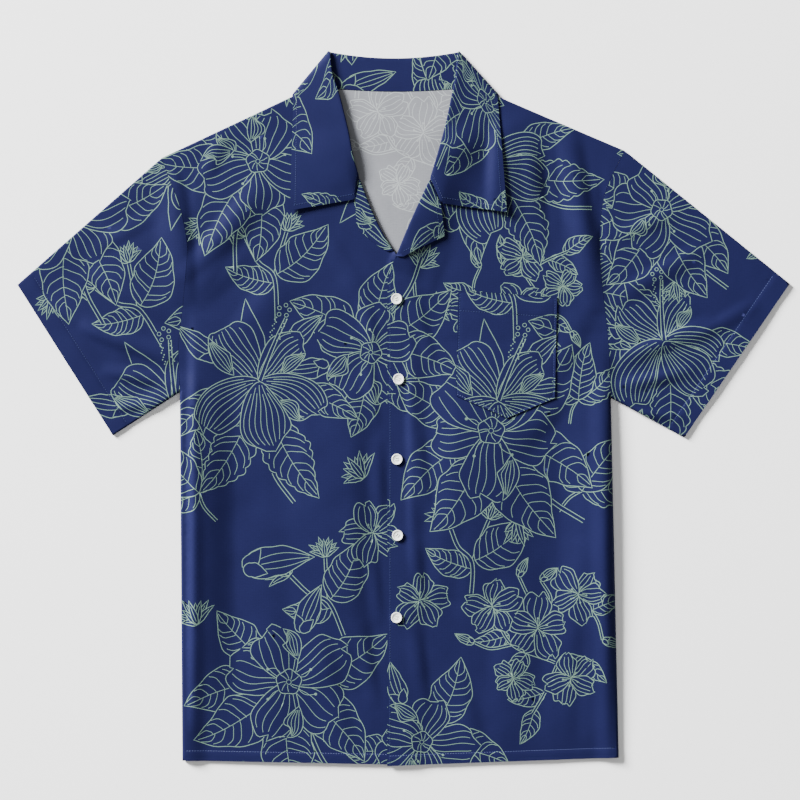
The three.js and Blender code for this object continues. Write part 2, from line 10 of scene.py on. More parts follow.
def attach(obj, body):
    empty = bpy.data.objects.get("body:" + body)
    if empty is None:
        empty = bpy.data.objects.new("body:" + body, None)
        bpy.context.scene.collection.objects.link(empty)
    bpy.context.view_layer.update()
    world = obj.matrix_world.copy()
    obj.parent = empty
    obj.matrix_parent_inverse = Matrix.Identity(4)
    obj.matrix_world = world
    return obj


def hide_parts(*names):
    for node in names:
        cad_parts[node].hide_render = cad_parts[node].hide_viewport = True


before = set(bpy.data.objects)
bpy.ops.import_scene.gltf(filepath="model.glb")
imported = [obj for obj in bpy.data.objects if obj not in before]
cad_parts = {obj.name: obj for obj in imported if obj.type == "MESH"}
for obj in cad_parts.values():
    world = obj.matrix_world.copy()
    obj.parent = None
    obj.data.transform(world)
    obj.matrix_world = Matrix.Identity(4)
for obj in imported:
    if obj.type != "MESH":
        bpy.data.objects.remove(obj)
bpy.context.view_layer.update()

print("frame loaded:", len(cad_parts), "nodes")

# Camp-collar shirt laid flat on its back. The plan is in millimetres, X across, Y up to the collar.
# Left and right are the wearer's. The meshes are made in metres, in the frame's own place.
metre = 0.001

cloth = {
    "thickness": 0.9,
    "layerStep": 1.4,      # from the middle of one layer to the middle of the next
    "backLevel": 0.5,
    "seamGap": 0.1,
    "armholeGap": 0.25,
    "lineStep": 4.0,       # longest edge along an outline or a constraint
    "gridStep": 4.1,       # spacing of the points inside a panel
    "softTurn": (1.0, 0.5),   # how far a turned-over edge reaches in, and how high it swells
    "fullTurn": (2.6, 3.0),
    "ridge": (7.0, 28.0),
    "fullTurnEnds": (10.0, 60.0, 250.0, 300.0),
    "loft": (0.9, 15.0, 70.0),
    "turnRows": (0.35, 1.0, 1.8, 2.6, 5.0),
}

right = {
    "neckward": 1, "rollLoft": 3.6,
    "sideHem": (-242.6, -386.3), "underarm": (-245.3, 19.1),
    "armhole": [(-247.3, 66), (-241, 127), (-237.4, 172), (-240.4, 200), (-247.5, 228), (-257, 252)],
    "shoulder": (-265.7, 275.4), "cuffTop": (-424.1, 136.2), "cuffBottom": (-319.6, -28.8),
    "neckPoint": (-99.6, 353.4), "collarCorner": (-80.5, 392.2), "collarSide": (-120.7, 343.5),
    "collarOuter": (-122.9, 284.7), "collarPoint": (-124.1, 217.2),
    "notch": (-52.8, 229.7), "gorge": (-48.4, 253.9),
    "collarRoll": [(-77.2, 366), (-71, 348.5), (-60.5, 306.7), (-55.5, 280)],
    "lapelRoll": [(-21.5, 191.2), (-34.7, 218.7)],
    "breakPoint": (-10.9, 174.2), "lapelEnd": (-13.7, 171.1),
    "lapelEdge": [(-28.1, 179.1), (-49.5, 196.2), (-51.7, 202.2)],
    "frontEdge": [(2.8, 151.5)], "frontHem": (2.8, -391.0),
}
left = {
    "neckward": -1, "rollLoft": 5.4,
    "sideHem": (236, -383), "underarm": (227.2, 13),
    "armhole": [(225, 75), (217.8, 140), (215.4, 183.5), (218.7, 224), (226.6, 250.6)],
    "shoulder": (242.9, 283.4), "cuffTop": (424.1, 137.3), "cuffBottom": (308.6, -31),
    "neckPoint": (79.8, 352.9), "collarCorner": (59.1, 391.9), "collarSide": (103.3, 342.9),
    "collarOuter": (107.5, 290), "collarPoint": (112.8, 215.4),
    "notch": (40.7, 225.3), "gorge": (28.6, 251.7),
    "collarRoll": [(56.9, 366), (54, 351), (46.5, 315), (37.5, 281)],
    "lapelRoll": [(5, 200), (18.2, 229.7)],
    "breakPoint": (-8.3, 168), "lapelEnd": (-5.4, 164.2),
    "lapelEdge": [(18.2, 176.9), (36.9, 185.7), (45.4, 189.6)],
    "frontEdge": [(-11.6, 160.4), (-16, 148.3), (-17.7, 137.3)], "frontHem": (-17.9, -392.2),
}
neckSeamDip = 4.8
collarTopDip = 6.8
overlap = {"edge": 4.8, "end": 26.0, "fadeFrom": 170.0, "fadeTo": 190.0}
collarFall = {"centreX": -9.0, "lowest": 313.2, "halfWidth": 112.0, "rise": 30.0}
collarFallClear = (6.0, 46.0)
frontLevel = cloth["backLevel"] + cloth["layerStep"]
turnRadius = cloth["layerStep"] / 2
turnInset = turnRadius + 0.5

# Creases: from, to, reach on the left of that line, reach on its right, height
creases = [
    ((-240, 136), (-150, 252), 20, 25, 4.6),     # right armhole, bright ridge towards the collar
    ((-240, 300), (-237, 188), 9, 13, -1.9),     # and the valley beside the seam
    ((-239, 112), (-247, 266), 34, 15, 4.0),     # the sleeve's cap stands up at its seam
    ((-222, 250), (-196, 306), 12, 15, 1.7),
    ((-238, 118), (-168, 176), 16, 22, 1.6),
    ((178, 318), (213, 104), 17, 20, 4.4),       # left armhole, the long ridge
    ((160, 296), (168, 168), 15, 15, -1.9),
    ((217, 300), (217, 156), 6, 5, -1.5),
    ((136, 304), (146, 205), 14, 13, 1.5),
    ((206, 118), (150, 10), 18, 22, 1.6),
    ((24, 232), (60, 372), 8, 60, 7.5),          # the collar's leaves stand off the cloth
    ((-46, 246), (-80, 372), 52, 7, 3.0),
    ((-14, 154), (36, 264), 6, 50, 6.6),         # and so does the lapel
    ((101, 208), (105, 336), 14, 62, 5.6),
    ((-60, -310), (-62, 40), 100, 30, 4.0),      # soft upright folds of the body
    ((-158, -110), (-140, -384), 30, 38, 1.7),
    ((-200, 56), (-116, 160), 22, 30, 2.0),
    ((-229, -360), (-228, 106), 10, 46, 8.4),    # bright ridge along the side, then a long dip
    ((-122, 30), (-134, -130), 20, 24, -1.0),
    ((-100, -236), (-58, -392), 18, 28, 1.8),
    ((-44, 130), (-30, 46), 10, 13, 1.2),        # puckers by the buttons
    ((-40, 60), (-30, -20), 9, 12, 1.3),
    ((-30, -30), (-25, -128), 10, 14, 1.7),
    ((-36, -140), (-27, -240), 9, 12, 1.5),
    ((-48, -230), (-30, -330), 10, 14, 1.3),
    ((14, 120), (32, 46), 9, 12, 1.3),
    ((16, -26), (27, -124), 10, 13, 1.6),
    ((12, -140), (22, -226), 9, 11, 1.3),
    ((12, -232), (25, -344), 10, 14, 1.6),
    ((12, -190), (9, 82), 9, 44, 2.6),
    ((56, -210), (62, 74), 38, 116, 6.4),
    ((112, -388), (128, -150), 30, 40, 2.0),
    ((188, -140), (172, -384), 20, 32, 2.2),
    ((196, 40), (116, -50), 20, 28, 2.0),
    ((220, -388), (217, 82), 52, 18, 7.0),
    ((58, -290), (86, -392), 16, 24, 1.4),
    ((60, -120), (52, -250), 16, 20, -0.9),
    ((-90, 196), (-40, 120), 14, 18, 1.0),       # below the lapels
    ((50, 190), (20, 120), 13, 16, 1.0),
    ((-250, 26), (-332, 42), 9, 13, 2.6),        # sleeves, drag lines from under the arm
    ((-251, 50), (-356, 92), 11, 16, 3.0),
    ((-249, 92), (-344, 152), 12, 17, 2.2),
    ((-268, 6), (-326, 0), 7, 10, 1.9),
    ((-258, 150), (-336, 204), 13, 16, 1.6),
    ((-300, 56), (-396, 122), 10, 13, 1.5),
    ((-270, 214), (-350, 170), 12, 15, 1.2),
    ((231, 24), (322, 44), 9, 13, 2.6),
    ((233, 52), (344, 98), 11, 16, 2.8),
    ((227, 118), (334, 180), 13, 18, 2.2),
    ((246, -2), (310, -9), 7, 10, 1.8),
    ((232, 190), (304, 218), 11, 14, 1.6),
    ((300, 66), (392, 120), 10, 13, 1.5),
]
# The same kind on the back, which lies flat: shallow troughs pressed into its outside
backCreases = [
    ((-150, 240), (-60, 60), 16, 24, 0.24),
    ((140, 250), (70, 40), 18, 26, 0.26),
    ((-30, 180), (-46, -180), 14, 20, 0.2),
    ((60, -60), (84, -330), 16, 26, 0.22),
    ((-160, -40), (-120, -340), 18, 28, 0.24),
    ((-226, 60), (-130, -20), 14, 18, 0.22),
    ((212, 70), (130, -30), 14, 20, 0.24),
]


# Plan geometry, on arrays of points
def asPoints(points):
    return np.array(points, float).reshape(-1, 2)


def gapBetween(a, b):
    return float(np.hypot(b[0] - a[0], b[1] - a[1]))


def unit(a, b):
    return (np.array(b, float) - np.array(a, float)) / gapBetween(a, b)


def smooth(low, high, value):
    t = np.clip((value - low) / (high - low), 0, 1)
    return t * t * (3 - 2 * t)


def rowLengths(vectors):
    return np.sqrt((vectors ** 2).sum(axis=1))


def lengthAlong(line):
    return np.concatenate([[0], np.cumsum(rowLengths(np.diff(line, axis=0)))])


def pointsAlong(line, shares):
    along = lengthAlong(line)
    at = np.clip(shares, 0, 1) * along[-1]
    return np.stack([np.interp(at, along, line[:, axis]) for axis in range(line.shape[1])], axis=1)


def evenly(line, step):
    count = max(1, math.ceil(lengthAlong(line)[-1] / step))
    return pointsAlong(line, np.linspace(0, 1, count + 1))


def splineThrough(points, perSpan=24):
    knots = asPoints(points)
    padded = np.concatenate([[2 * knots[0] - knots[1]], knots, [2 * knots[-1] - knots[-2]]])
    line = []
    for a, b, c, d in zip(padded, padded[1:], padded[2:], padded[3:]):
        for t in np.arange(perSpan) / perSpan:
            line.append(0.5 * (2 * b + (c - a) * t + (2 * a - 5 * b + 4 * c - d) * t ** 2
                               + (3 * b - a - 3 * c + d) * t ** 3))
    return np.array([*line, knots[-1]])


def segmentPlace(a, b, points):
    a, b = np.array(a, float), np.array(b, float)
    along = b - a
    t = ((points - a) @ along) / (along @ along)
    near = a + np.clip(t, 0, 1)[:, None] * along
    side = np.sign(along[0] * (points[:, 1] - a[1]) - along[1] * (points[:, 0] - a[0]))
    return t, rowLengths(points - near), side


def nearestOn(line, points):
    """Share of the line's length, distance and side, for each point."""
    best = np.full(len(points), 1e9)
    share = np.zeros(len(points))
    sides = np.ones(len(points))
    along = lengthAlong(line)
    for k in range(len(line) - 1):
        t, distance, side = segmentPlace(line[k], line[k + 1], points)
        closer = distance < best - 1e-9
        best = np.where(closer, distance, best)
        sides = np.where(closer, side, sides)
        at = along[k] + np.clip(t, 0, 1) * (along[k + 1] - along[k])
        share = np.where(closer, at / along[-1], share)
    return share, best, sides


def insidePolygon(points, polygon):
    a, b = polygon, np.roll(polygon, -1, axis=0)
    x, y = points[:, :1], points[:, 1:]
    crosses = (a[:, 1] > y) != (b[:, 1] > y)
    rise = np.where(b[:, 1] == a[:, 1], 1e-12, b[:, 1] - a[:, 1])
    at = a[:, 0] + (y - a[:, 1]) / rise * (b[:, 0] - a[:, 0])
    return (crosses & (x < at)).sum(axis=1) % 2 == 1


outline = [edge for half in (right, left) for edge in (
    (half["sideHem"], half["underarm"]), (half["underarm"], half["cuffBottom"]),
    (half["cuffTop"], half["shoulder"]), (half["shoulder"], half["neckPoint"]))]


def outlineDistance(points):
    return np.min([segmentPlace(a, b, points)[1] for a, b in outline], axis=0)


# Heights of the cloth's middle surface
def creaseHeight(points, table):
    total = np.zeros(len(points))
    for start, end, leftReach, rightReach, height in table:
        t, distance, side = segmentPlace(start, end, points)
        reach = np.where(side > 0, leftReach, rightReach)
        across = np.maximum(0, 1 - (distance / reach) ** 2) ** 2
        total += height * across * np.sin(np.pi * np.clip(t, 0, 1)) ** 0.8
    return total


def ripple(points, size, seed):
    """Low uneven waves, from -1 to 1, size mm apart."""
    x, y = points[:, 0] / size, points[:, 1] / size
    a = np.sin(2.1 * x + 1.3 * np.sin(1.7 * y + seed) + seed)
    b = np.sin(1.6 * y - 1.9 * np.sin(1.1 * x - 2 * seed) + 2.3 * seed)
    return 0.5 * (a + b)


def collarFallEdge(x):
    return collarFall["lowest"] + collarFall["rise"] * (
        (x - collarFall["centreX"]) / collarFall["halfWidth"]) ** 2


def collarRise(points):
    edge = collarFallEdge(points[:, 0])
    near, far = collarFallClear
    return cloth["layerStep"] * smooth(edge - far, edge - near, points[:, 1])


def overlapRise(points):
    across = 1 - smooth(overlap["edge"], overlap["end"], points[:, 0])
    return cloth["layerStep"] * across * (
        1 - smooth(overlap["fadeFrom"], overlap["fadeTo"], points[:, 1]))


def frontBed(points):
    rise = collarRise(points)
    height, start, end = cloth["loft"]
    distance = outlineDistance(points)
    ease = height * smooth(start, end, distance)
    waves = 0.16 * ripple(points, 17, 1.0) + 0.22 * ripple(points, 43, 2.0)
    folds = np.maximum(0, ease + creaseHeight(points, creases) + waves * smooth(0, 30, distance))
    return frontLevel + rise + folds * (1 - rise / cloth["layerStep"])


def layerHeights(points, gap):
    distance = outlineDistance(points)
    low, high, inner, outer = cloth["fullTurnEnds"]
    full = (1 - smooth(low, high, points[:, 1])) * (1 - smooth(inner, outer, np.abs(points[:, 0])))
    reach = cloth["softTurn"][0] + (cloth["fullTurn"][0] - cloth["softTurn"][0]) * full
    swell = cloth["softTurn"][1] + (cloth["fullTurn"][1] - cloth["softTurn"][1]) * full
    rise = collarRise(points)
    lower = cloth["backLevel"] + rise
    crest, foot = cloth["ridge"]
    beside = swell * (1 - rise / cloth["layerStep"]) * (1 - smooth(crest, foot, distance))
    upper = frontBed(points) + beside
    middle = (lower + upper) / 2
    turn = np.sqrt(1 - (1 - np.minimum(1, distance / reach)) ** 2)
    front = middle + gap / 2 + (upper - middle - gap / 2) * turn
    back = middle - gap / 2 - (middle - gap / 2 - lower) * turn
    return front, back


# Print: drawn by formula, front shapes first, each hiding the lines of what lies behind it
printStyle = {"width": 0.85, "fineWidth": 0.66, "tolerance": 0.13, "longest": 6.0}


def newDrawing():
    return {"lines": [], "masks": [], "boxes": np.zeros((0, 4))}


def visibleRuns(drawing, line):
    keep = np.ones(len(line), bool)
    low, high = line.min(axis=0), line.max(axis=0)
    boxes = drawing["boxes"]
    near = (boxes[:, :2] < high).all(axis=1) & (boxes[:, 2:] > low).all(axis=1)
    for k in np.flatnonzero(near):
        keep &= ~insidePolygon(line, drawing["masks"][k])
    runs = np.split(np.arange(len(line)), np.flatnonzero(np.diff(keep)) + 1)
    return [line[run] for run in runs if keep[run[0]] and len(run) > 2]


def addLines(drawing, lines, width):
    for line in lines:
        drawing["lines"] += [(run, width) for run in visibleRuns(drawing, line)]


def addMask(drawing, polygon):
    drawing["masks"].append(polygon)
    box = np.concatenate([polygon.min(axis=0), polygon.max(axis=0)])
    drawing["boxes"] = np.vstack([drawing["boxes"], box])


def placed(points, x, y, turn, size=1.0):
    c, s = math.cos(turn) * size, math.sin(turn) * size
    return points @ np.array([[c, s], [-s, c]]) + (x, y)


def alongBend(offset, share, length, bend):
    """Points beside an axis that leaves the origin along +Y and bends by an angle."""
    angle = bend * share
    if abs(bend) < 1e-6:
        return np.stack([offset, length * share], axis=1)
    radius = length / bend
    axis = np.stack([radius * (1 - np.cos(angle)), radius * np.sin(angle)], axis=1)
    return axis + offset[:, None] * np.stack([np.cos(angle), -np.sin(angle)], axis=1)


def petal(rng, length, width, veins, bend=0.0, ruffle=0.04, fold=0):
    """Outline, veins and rolled rim of a petal that grows from the origin along +Y."""
    share = np.linspace(0, 1, 52)
    half = width * share ** 0.62 * np.sqrt(np.maximum(0, 1 - share ** 3.0)) * 1.2
    lean = rng.uniform(-0.16, 0.16)
    phase = rng.uniform(0, 6.3, 4)
    sides = []
    for k, side in enumerate((-1, 1)):
        wave = 1 + side * lean + ruffle * share ** 2 * np.sin(11 * share + phase[k])
        lift = share + ruffle * 0.8 * share ** 5 * np.sin(6 * half / width + phase[k + 2])
        sides.append(alongBend(side * half * wave, np.clip(lift, 0, 1.12), length, bend))
    edge = np.concatenate([sides[0], sides[1][::-1]])
    lines = []
    beat = rng.uniform(0, 6.3)
    for k in range(veins):
        across = (k + 0.5) / veins * 2 - 1
        end = 0.98 - 0.10 * rng.random() - 0.05 * abs(across)
        start = 0.05 + 0.10 * (k % 2) + 0.05 * rng.random()
        part = np.linspace(start, end, 30)
        body = width * part ** 0.62 * np.sqrt(1 - part ** 3.0) * 1.2
        sway = 0.09 * width * np.sin(5.2 * part + beat + 1.1 * across) * np.sin(np.pi * part / 1.04)
        reach = across * 0.88 * body * (1 + lean * np.sign(across))
        lines.append(alongBend(reach + sway, part, length, bend))
    if not fold:
        return edge, lines, []
    rim = sides[0 if fold < 0 else 1][16:47]
    along = np.linspace(0, 1, len(rim))
    inwards = np.sin(np.pi * along) ** 0.8 * (1 + 0.25 * np.sin(4.4 * along))
    ahead = np.gradient(rim, axis=0)
    normal = np.stack([-ahead[:, 1], ahead[:, 0]], axis=1) / rowLengths(ahead)[:, None]
    normal = normal * inwards[:, None] * fold
    rolled = np.concatenate([rim - normal * width * 0.10, (rim + normal * width * 0.42)[::-1]])
    curves = [(rim + normal * width * far)[3:-3] for far in (0.02, 0.12, 0.22, 0.32)]
    return edge, lines, [(rolled, curves)]


def leafProfile(share, width):
    """Half width of a leaf, widest in its lower half and drawn out to a point."""
    return width * (share / 0.36) ** 0.62 * ((1 - share) / 0.64) ** 1.1


def leafShape(rng, length, width, veins, bend=0.0, teeth=0):
    """Outline, midrib and side veins of a leaf that grows from the origin along +Y."""
    share = np.linspace(0, 1, 72)
    sides = []
    for side in (-1, 1):
        phase = rng.uniform(0, 6.3)
        half = leafProfile(share, width)
        half = half * (1 + 0.06 * np.sin(12 * share + phase) + 0.025 * np.sin(25 * share + 2 * phase))
        if teeth:
            notch = np.abs(np.sin(np.pi * (teeth * share + 0.3 * side)))
            half = half + width * 0.13 * notch * np.sin(np.pi * share)
        sides.append(alongBend(side * half, share, length, bend))
    edge = np.concatenate([sides[0], sides[1][::-1]])
    part = np.linspace(0, 0.95, 30)
    lines = [alongBend(0.035 * width * np.sin(5 * part), part, length, bend)] if veins else []
    for k in range(veins):
        for side in (-1, 1):
            start = 0.05 + 0.78 * (k + 0.5 * rng.random()) / veins
            t = np.linspace(0, 1, 14)
            at = np.minimum(start + (0.15 + 0.05 * rng.random()) * t ** 1.5, 0.985)
            body = leafProfile(at, width)
            stop = 0.84 + 0.15 * rng.random()
            sway = 0.035 * length * np.sin(5.5 * t + 0.6) * t * (1 - 0.5 * t) / length
            lines.append(alongBend(side * body * stop * t ** 0.85, at + sway, length, bend))
    return edge, lines


def ring(x, y, radius, sides=14):
    angles = np.linspace(0, 2 * np.pi, sides + 1)
    return np.stack([x + radius * np.cos(angles), y + radius * np.sin(angles)], axis=1)


def addShape(drawing, shape, x, y, turn, size=1.0):
    edge, lines, *over = shape
    for part in over[0] if over else ():
        addShape(drawing, part, x, y, turn, size)
    edge = placed(edge, x, y, turn, size)
    inner = [placed(line, x, y, turn, size) for line in lines]
    addLines(drawing, [np.concatenate([edge, edge[:1]])], printStyle["width"])
    addLines(drawing, inner, printStyle["fineWidth"])
    addMask(drawing, edge)


def addStem(drawing, points, gap=3.6):
    line = splineThrough(points, 14)
    ahead = np.gradient(line, axis=0)
    normal = np.stack([-ahead[:, 1], ahead[:, 0]], axis=1) / rowLengths(ahead)[:, None]
    sides = [line + normal * gap / 2, line - normal * gap / 2]
    addLines(drawing, sides, printStyle["width"])
    addMask(drawing, np.concatenate([sides[0], sides[1][::-1]]))


# Angle from the flower's own turn, then length, width, veins, bend and rolled side of each petal
hibiscusPetals = [
    (3.05, 1.05, 0.46, 8, -0.45, 0),
    (-1.8, 1.02, 0.36, 7, 0.95, 1),
    (1.62, 1.22, 0.37, 8, -1.05, 0),
    (-0.72, 0.90, 0.38, 6, 0.35, 1),
    (0.62, 0.98, 0.44, 7, 0.4, -1),
]


def hibiscus(drawing, rng, x, y, turn, size):
    reach = 74 * size
    pistilTurn = turn + rng.uniform(-0.45, -0.35)
    t = np.linspace(0.02, 1, 26)
    for px, py in ((-5.2, 1.13), (0.6, 1.2), (6.0, 1.15), (-3.4, 1.04), (4.6, 1.06)):
        spot = placed(asPoints([(px * size, reach * py)]), x, y, pistilTurn)[0]
        head = ring(*spot, 2.1 * size, 10)
        addLines(drawing, [head], printStyle["fineWidth"])
        addMask(drawing, head)
    for k in range(22):
        at = 0.66 + 0.017 * k
        side = (-1) ** k * (3.6 + 1.3 * (k % 3)) * size
        spot = placed(asPoints([(side, reach * at)]), x, y, pistilTurn)
        addLines(drawing, [ring(*spot[0], 0.45, 5)], 0.8)
    sides = [alongBend(np.full(26, side * 1.7 * size) * (1.3 - 0.4 * t), t, reach * 1.02, 0.14)
             for side in (-1, 1)]
    sides = [placed(side, x, y, pistilTurn) for side in sides]
    addLines(drawing, sides, printStyle["width"])
    addMask(drawing, np.concatenate([sides[0], sides[1][::-1]]))
    for angle, far, wide, veins, bend, fold in hibiscusPetals:
        length = reach * far * rng.uniform(0.94, 1.06)
        shape = petal(rng, length, length * wide, veins, bend * rng.uniform(0.85, 1.15), 0.07, fold)
        addShape(drawing, shape, x, y, turn + angle + rng.uniform(-0.1, 0.1))
    addShape(drawing, leafShape(rng, reach * 1.25, reach * 0.2, 0, 0.1), x, y, turn + 0.12)


def openBloom(drawing, rng, x, y, turn, size):
    heart = 13.5 * size
    rim = ring(0, 0, heart, 30)
    angles = np.linspace(0, 2 * np.pi, len(rim))
    rim = rim * (1 + 0.07 * np.sin(5 * angles + turn))[:, None] + (x, y)
    addLines(drawing, [rim], printStyle["width"])
    addLines(drawing, [ring(x, y, heart * 0.2, 8)], printStyle["fineWidth"])
    for k in range(9):
        angle = turn + 2 * np.pi * (k + 0.3 * rng.random()) / 9
        t = np.linspace(0.26, rng.uniform(0.8, 1.0), 8)
        spoke = placed(alongBend(1.1 * size * np.sin(4 * t), t, heart, rng.uniform(-0.5, 0.5)), x, y, angle)
        addLines(drawing, [spoke], printStyle["fineWidth"])
    addMask(drawing, rim)
    for k in range(4):                  # stamens that curl out over the petals
        angle = turn + 2 * np.pi * (k + 0.5 * rng.random()) / 4
        t = np.linspace(0, 1, 14)
        curl = alongBend(1.8 * size * np.sin(4 * t), t, heart * rng.uniform(0.9, 1.5), rng.uniform(-0.7, 0.7))
        curl = placed(curl + (0, heart), x, y, angle)
        addLines(drawing, [curl, ring(*curl[-1], 1.3 * size, 7), ring(*curl[-1], 0.6 * size, 5)],
                 printStyle["fineWidth"])
    for k in (0, 2, 4, 1, 3):
        angle = turn + 2 * np.pi * k / 5 + rng.uniform(-0.13, 0.13)
        length = 66 * size * rng.uniform(0.88, 1.12)
        shape = petal(rng, length, length * rng.uniform(0.5, 0.6), 5, rng.uniform(-0.4, 0.4), 0.09,
                      rng.integers(-1, 2) if k < 3 else 0)
        addShape(drawing, shape, x, y, angle)


def smallBloom(drawing, rng, x, y, turn, size):
    for k in range(5):
        angle = turn + 2 * np.pi * k / 5 + 0.3
        t = np.linspace(0.1, 1, 6)
        hair = placed(alongBend(0 * t, t, 8 * size, 0.4), x, y, angle)
        addLines(drawing, [hair, ring(*hair[-1], 0.8, 6)], printStyle["fineWidth"])
    for k in (0, 2, 4, 1, 3):
        angle = turn + 2 * np.pi * k / 5 + rng.uniform(-0.16, 0.16)
        length = 27 * size * rng.uniform(0.85, 1.12)
        shape = petal(rng, length, length * 0.52, 4, rng.uniform(-0.3, 0.3), 0.14)
        addShape(drawing, shape, x, y, angle)


def closedBud(drawing, rng, x, y, turn, size):
    addShape(drawing, leafShape(rng, 22 * size, 6.5 * size, 0, 0.3), x, y, turn - 0.35)
    addShape(drawing, leafShape(rng, 24 * size, 6.5 * size, 0, -0.3), x, y, turn + 0.4)
    edge, _ = leafShape(rng, 64 * size, 14 * size, 0, 0.3)
    t = np.linspace(0.1, 0.93, 22)
    lines = [alongBend(side * size * 11 * np.sin(np.pi * t), t, 64 * size, 0.3) for side in (-0.55, 0.05, 0.6)]
    addShape(drawing, (edge, lines), x, y, turn)


def crown(drawing, rng, x, y, turn, size):
    for lean in (0.05, -0.42, 0.5, -0.95, 1.15, -0.2, 0.27, -0.68, 0.85):
        length = (24 + 11 * rng.random() - 5 * abs(lean)) * size
        edge, _ = leafShape(rng, length, 3.6 * size, 0, -lean * 0.55)
        t = np.linspace(0.12, 0.75, 8)
        addShape(drawing, (edge, [alongBend(0 * t, t, length, -lean * 0.55)]), x, y, turn + lean * 0.8)


def leaf(drawing, rng, x, y, turn, size, teeth=0, bend=0.35, width=0.27):
    length = 92 * size
    shape = leafShape(rng, length, length * width, 7 if size > 0.55 else 5, bend, teeth)
    addShape(drawing, shape, x, y, turn)


def around(x, y, angle, far):
    return x - far * math.sin(angle), y + far * math.cos(angle)


def openBouquet(drawing, rng, x, y, turn, size):
    openBloom(drawing, rng, x, y, turn, size)
    for angle, far, length, bend in ((2.2, 30, 1.02, 0.5), (2.95, 34, 1.05, -0.35), (3.75, 34, 0.95, 0.4),
                                     (4.9, 34, 0.98, -0.5), (0.7, 40, 0.78, 0.3), (1.45, 36, 0.9, -0.4)):
        a = turn + angle + rng.uniform(-0.15, 0.15)
        leaf(drawing, rng, *around(x, y, a, far * size), a, length * size, 0, bend, 0.3)
    a = turn - 0.45
    closedBud(drawing, rng, *around(x, y, a, 56 * size), a, size * 0.9)
    a = turn + 3.35
    foot = [around(x, y, a, 40 * size), around(x, y, a, 92 * size), around(x, y, a + 0.09, 134 * size)]
    addStem(drawing, foot, 4.0 * size)
    crown(drawing, rng, *around(x, y, a - 0.42, 96 * size), a - 0.5, size * 0.95)
    addStem(drawing, [around(x, y, a - 0.42, 94 * size), around(x, y, a - 0.2, 86 * size),
                      around(x, y, a + 0.05, 108 * size)], 3.2 * size)


def hibiscusBouquet(drawing, rng, x, y, turn, size):
    hibiscus(drawing, rng, x, y, turn, size)
    for angle, far, length, bend, teeth in ((2.75, 44, 1.05, 0.5, 9), (3.45, 44, 1.1, -0.4, 9),
                                            (1.95, 40, 0.9, -0.5, 0), (4.3, 44, 0.8, 0.4, 0)):
        a = turn + angle + rng.uniform(-0.12, 0.12)
        leaf(drawing, rng, *around(x, y, a, far * size), a, length * size, teeth, bend, 0.23)
    for angle, far, scale in ((0.95, 52, 0.9), (5.5, 50, 0.8)):
        a = turn + angle
        closedBud(drawing, rng, *around(x, y, a, far * size), a, size * scale)
    a = turn + 3.1
    addStem(drawing, [around(x, y, a, 60 * size), around(x, y, a + 0.1, 104 * size),
                      around(x, y, a + 0.22, 138 * size)], 3.6 * size)


def spray(drawing, rng, x, y, turn, size):
    def at(points):
        return placed(asPoints(points) * size, x, y, turn)
    for px, py, scale in ((-38, 34, 1.0), (6, 8, 1.25), (50, 38, 1.05), (34, -46, 1.0), (-24, -40, 0.8)):
        spot = at([(px, py)])[0]
        smallBloom(drawing, rng, *spot, turn + rng.uniform(0, 6.3), scale * size)
    for px, py, angle in ((-8, 62, -0.4), (14, 56, -0.9), (70, -10, -1.9), (-60, 0, 1.2)):
        spot = at([(px, py)])[0]
        closedBud(drawing, rng, *spot, turn + angle, 0.34 * size)
    for line in ([(-38, 34), (-22, -6), (22, -30), (34, -46)], [(6, 8), (0, 38), (-8, 62)],
                 [(6, 8), (22, 34), (14, 56)], [(22, -30), (8, -56), (-8, -78)],
                 [(50, 38), (66, 12), (70, -10)], [(-22, -6), (-44, -8), (-60, 0)]):
        addStem(drawing, at(line), 2.4 * size)
    for px, py, angle in ((-24, 4, 1.9), (-8, -16, 2.5), (22, -30, -1.5), (6, -58, 1.9), (40, -30, -2.0),
                          (60, 20, -1.1), (-6, -74, 2.9)):
        spot = at([(px, py)])[0]
        leaf(drawing, rng, *spot, turn + angle, 0.42 * size, 0, 0.5, 0.24)


def branch(drawing, rng, x, y, turn, size):
    def at(points):
        return placed(asPoints(points) * size, x, y, turn)
    crown(drawing, rng, *at([(-32, 38)])[0], turn + 0.5, size)
    addStem(drawing, at([(-32, 38), (-18, 10), (0, -8), (3, -56)]), 4.0 * size)
    leaf(drawing, rng, *at([(3, -4)])[0], turn - 1.05, 0.86 * size, 0, -0.5, 0.3)
    leaf(drawing, rng, *at([(0, -14)])[0], turn + 1.5, 0.62 * size, 0, 0.5, 0.27)
    crown(drawing, rng, *at([(14, 44)])[0], turn - 0.3, 0.8 * size)
    addStem(drawing, at([(14, 44), (6, 18), (0, -8)]), 3.2 * size)


def twoLeaves(drawing, rng, x, y, turn, size):
    leaf(drawing, rng, x, y, turn + 0.4, size, 0, 0.4, 0.26)
    leaf(drawing, rng, x, y, turn - 0.7, 0.85 * size, 7, -0.5, 0.25)
    leaf(drawing, rng, x, y, turn + 1.6, 0.6 * size, 0, 0.5, 0.28)
    addStem(drawing, placed(asPoints([(0, 4), (-3, -18), (2, -40)]) * size, x, y, turn), 3.2 * size)


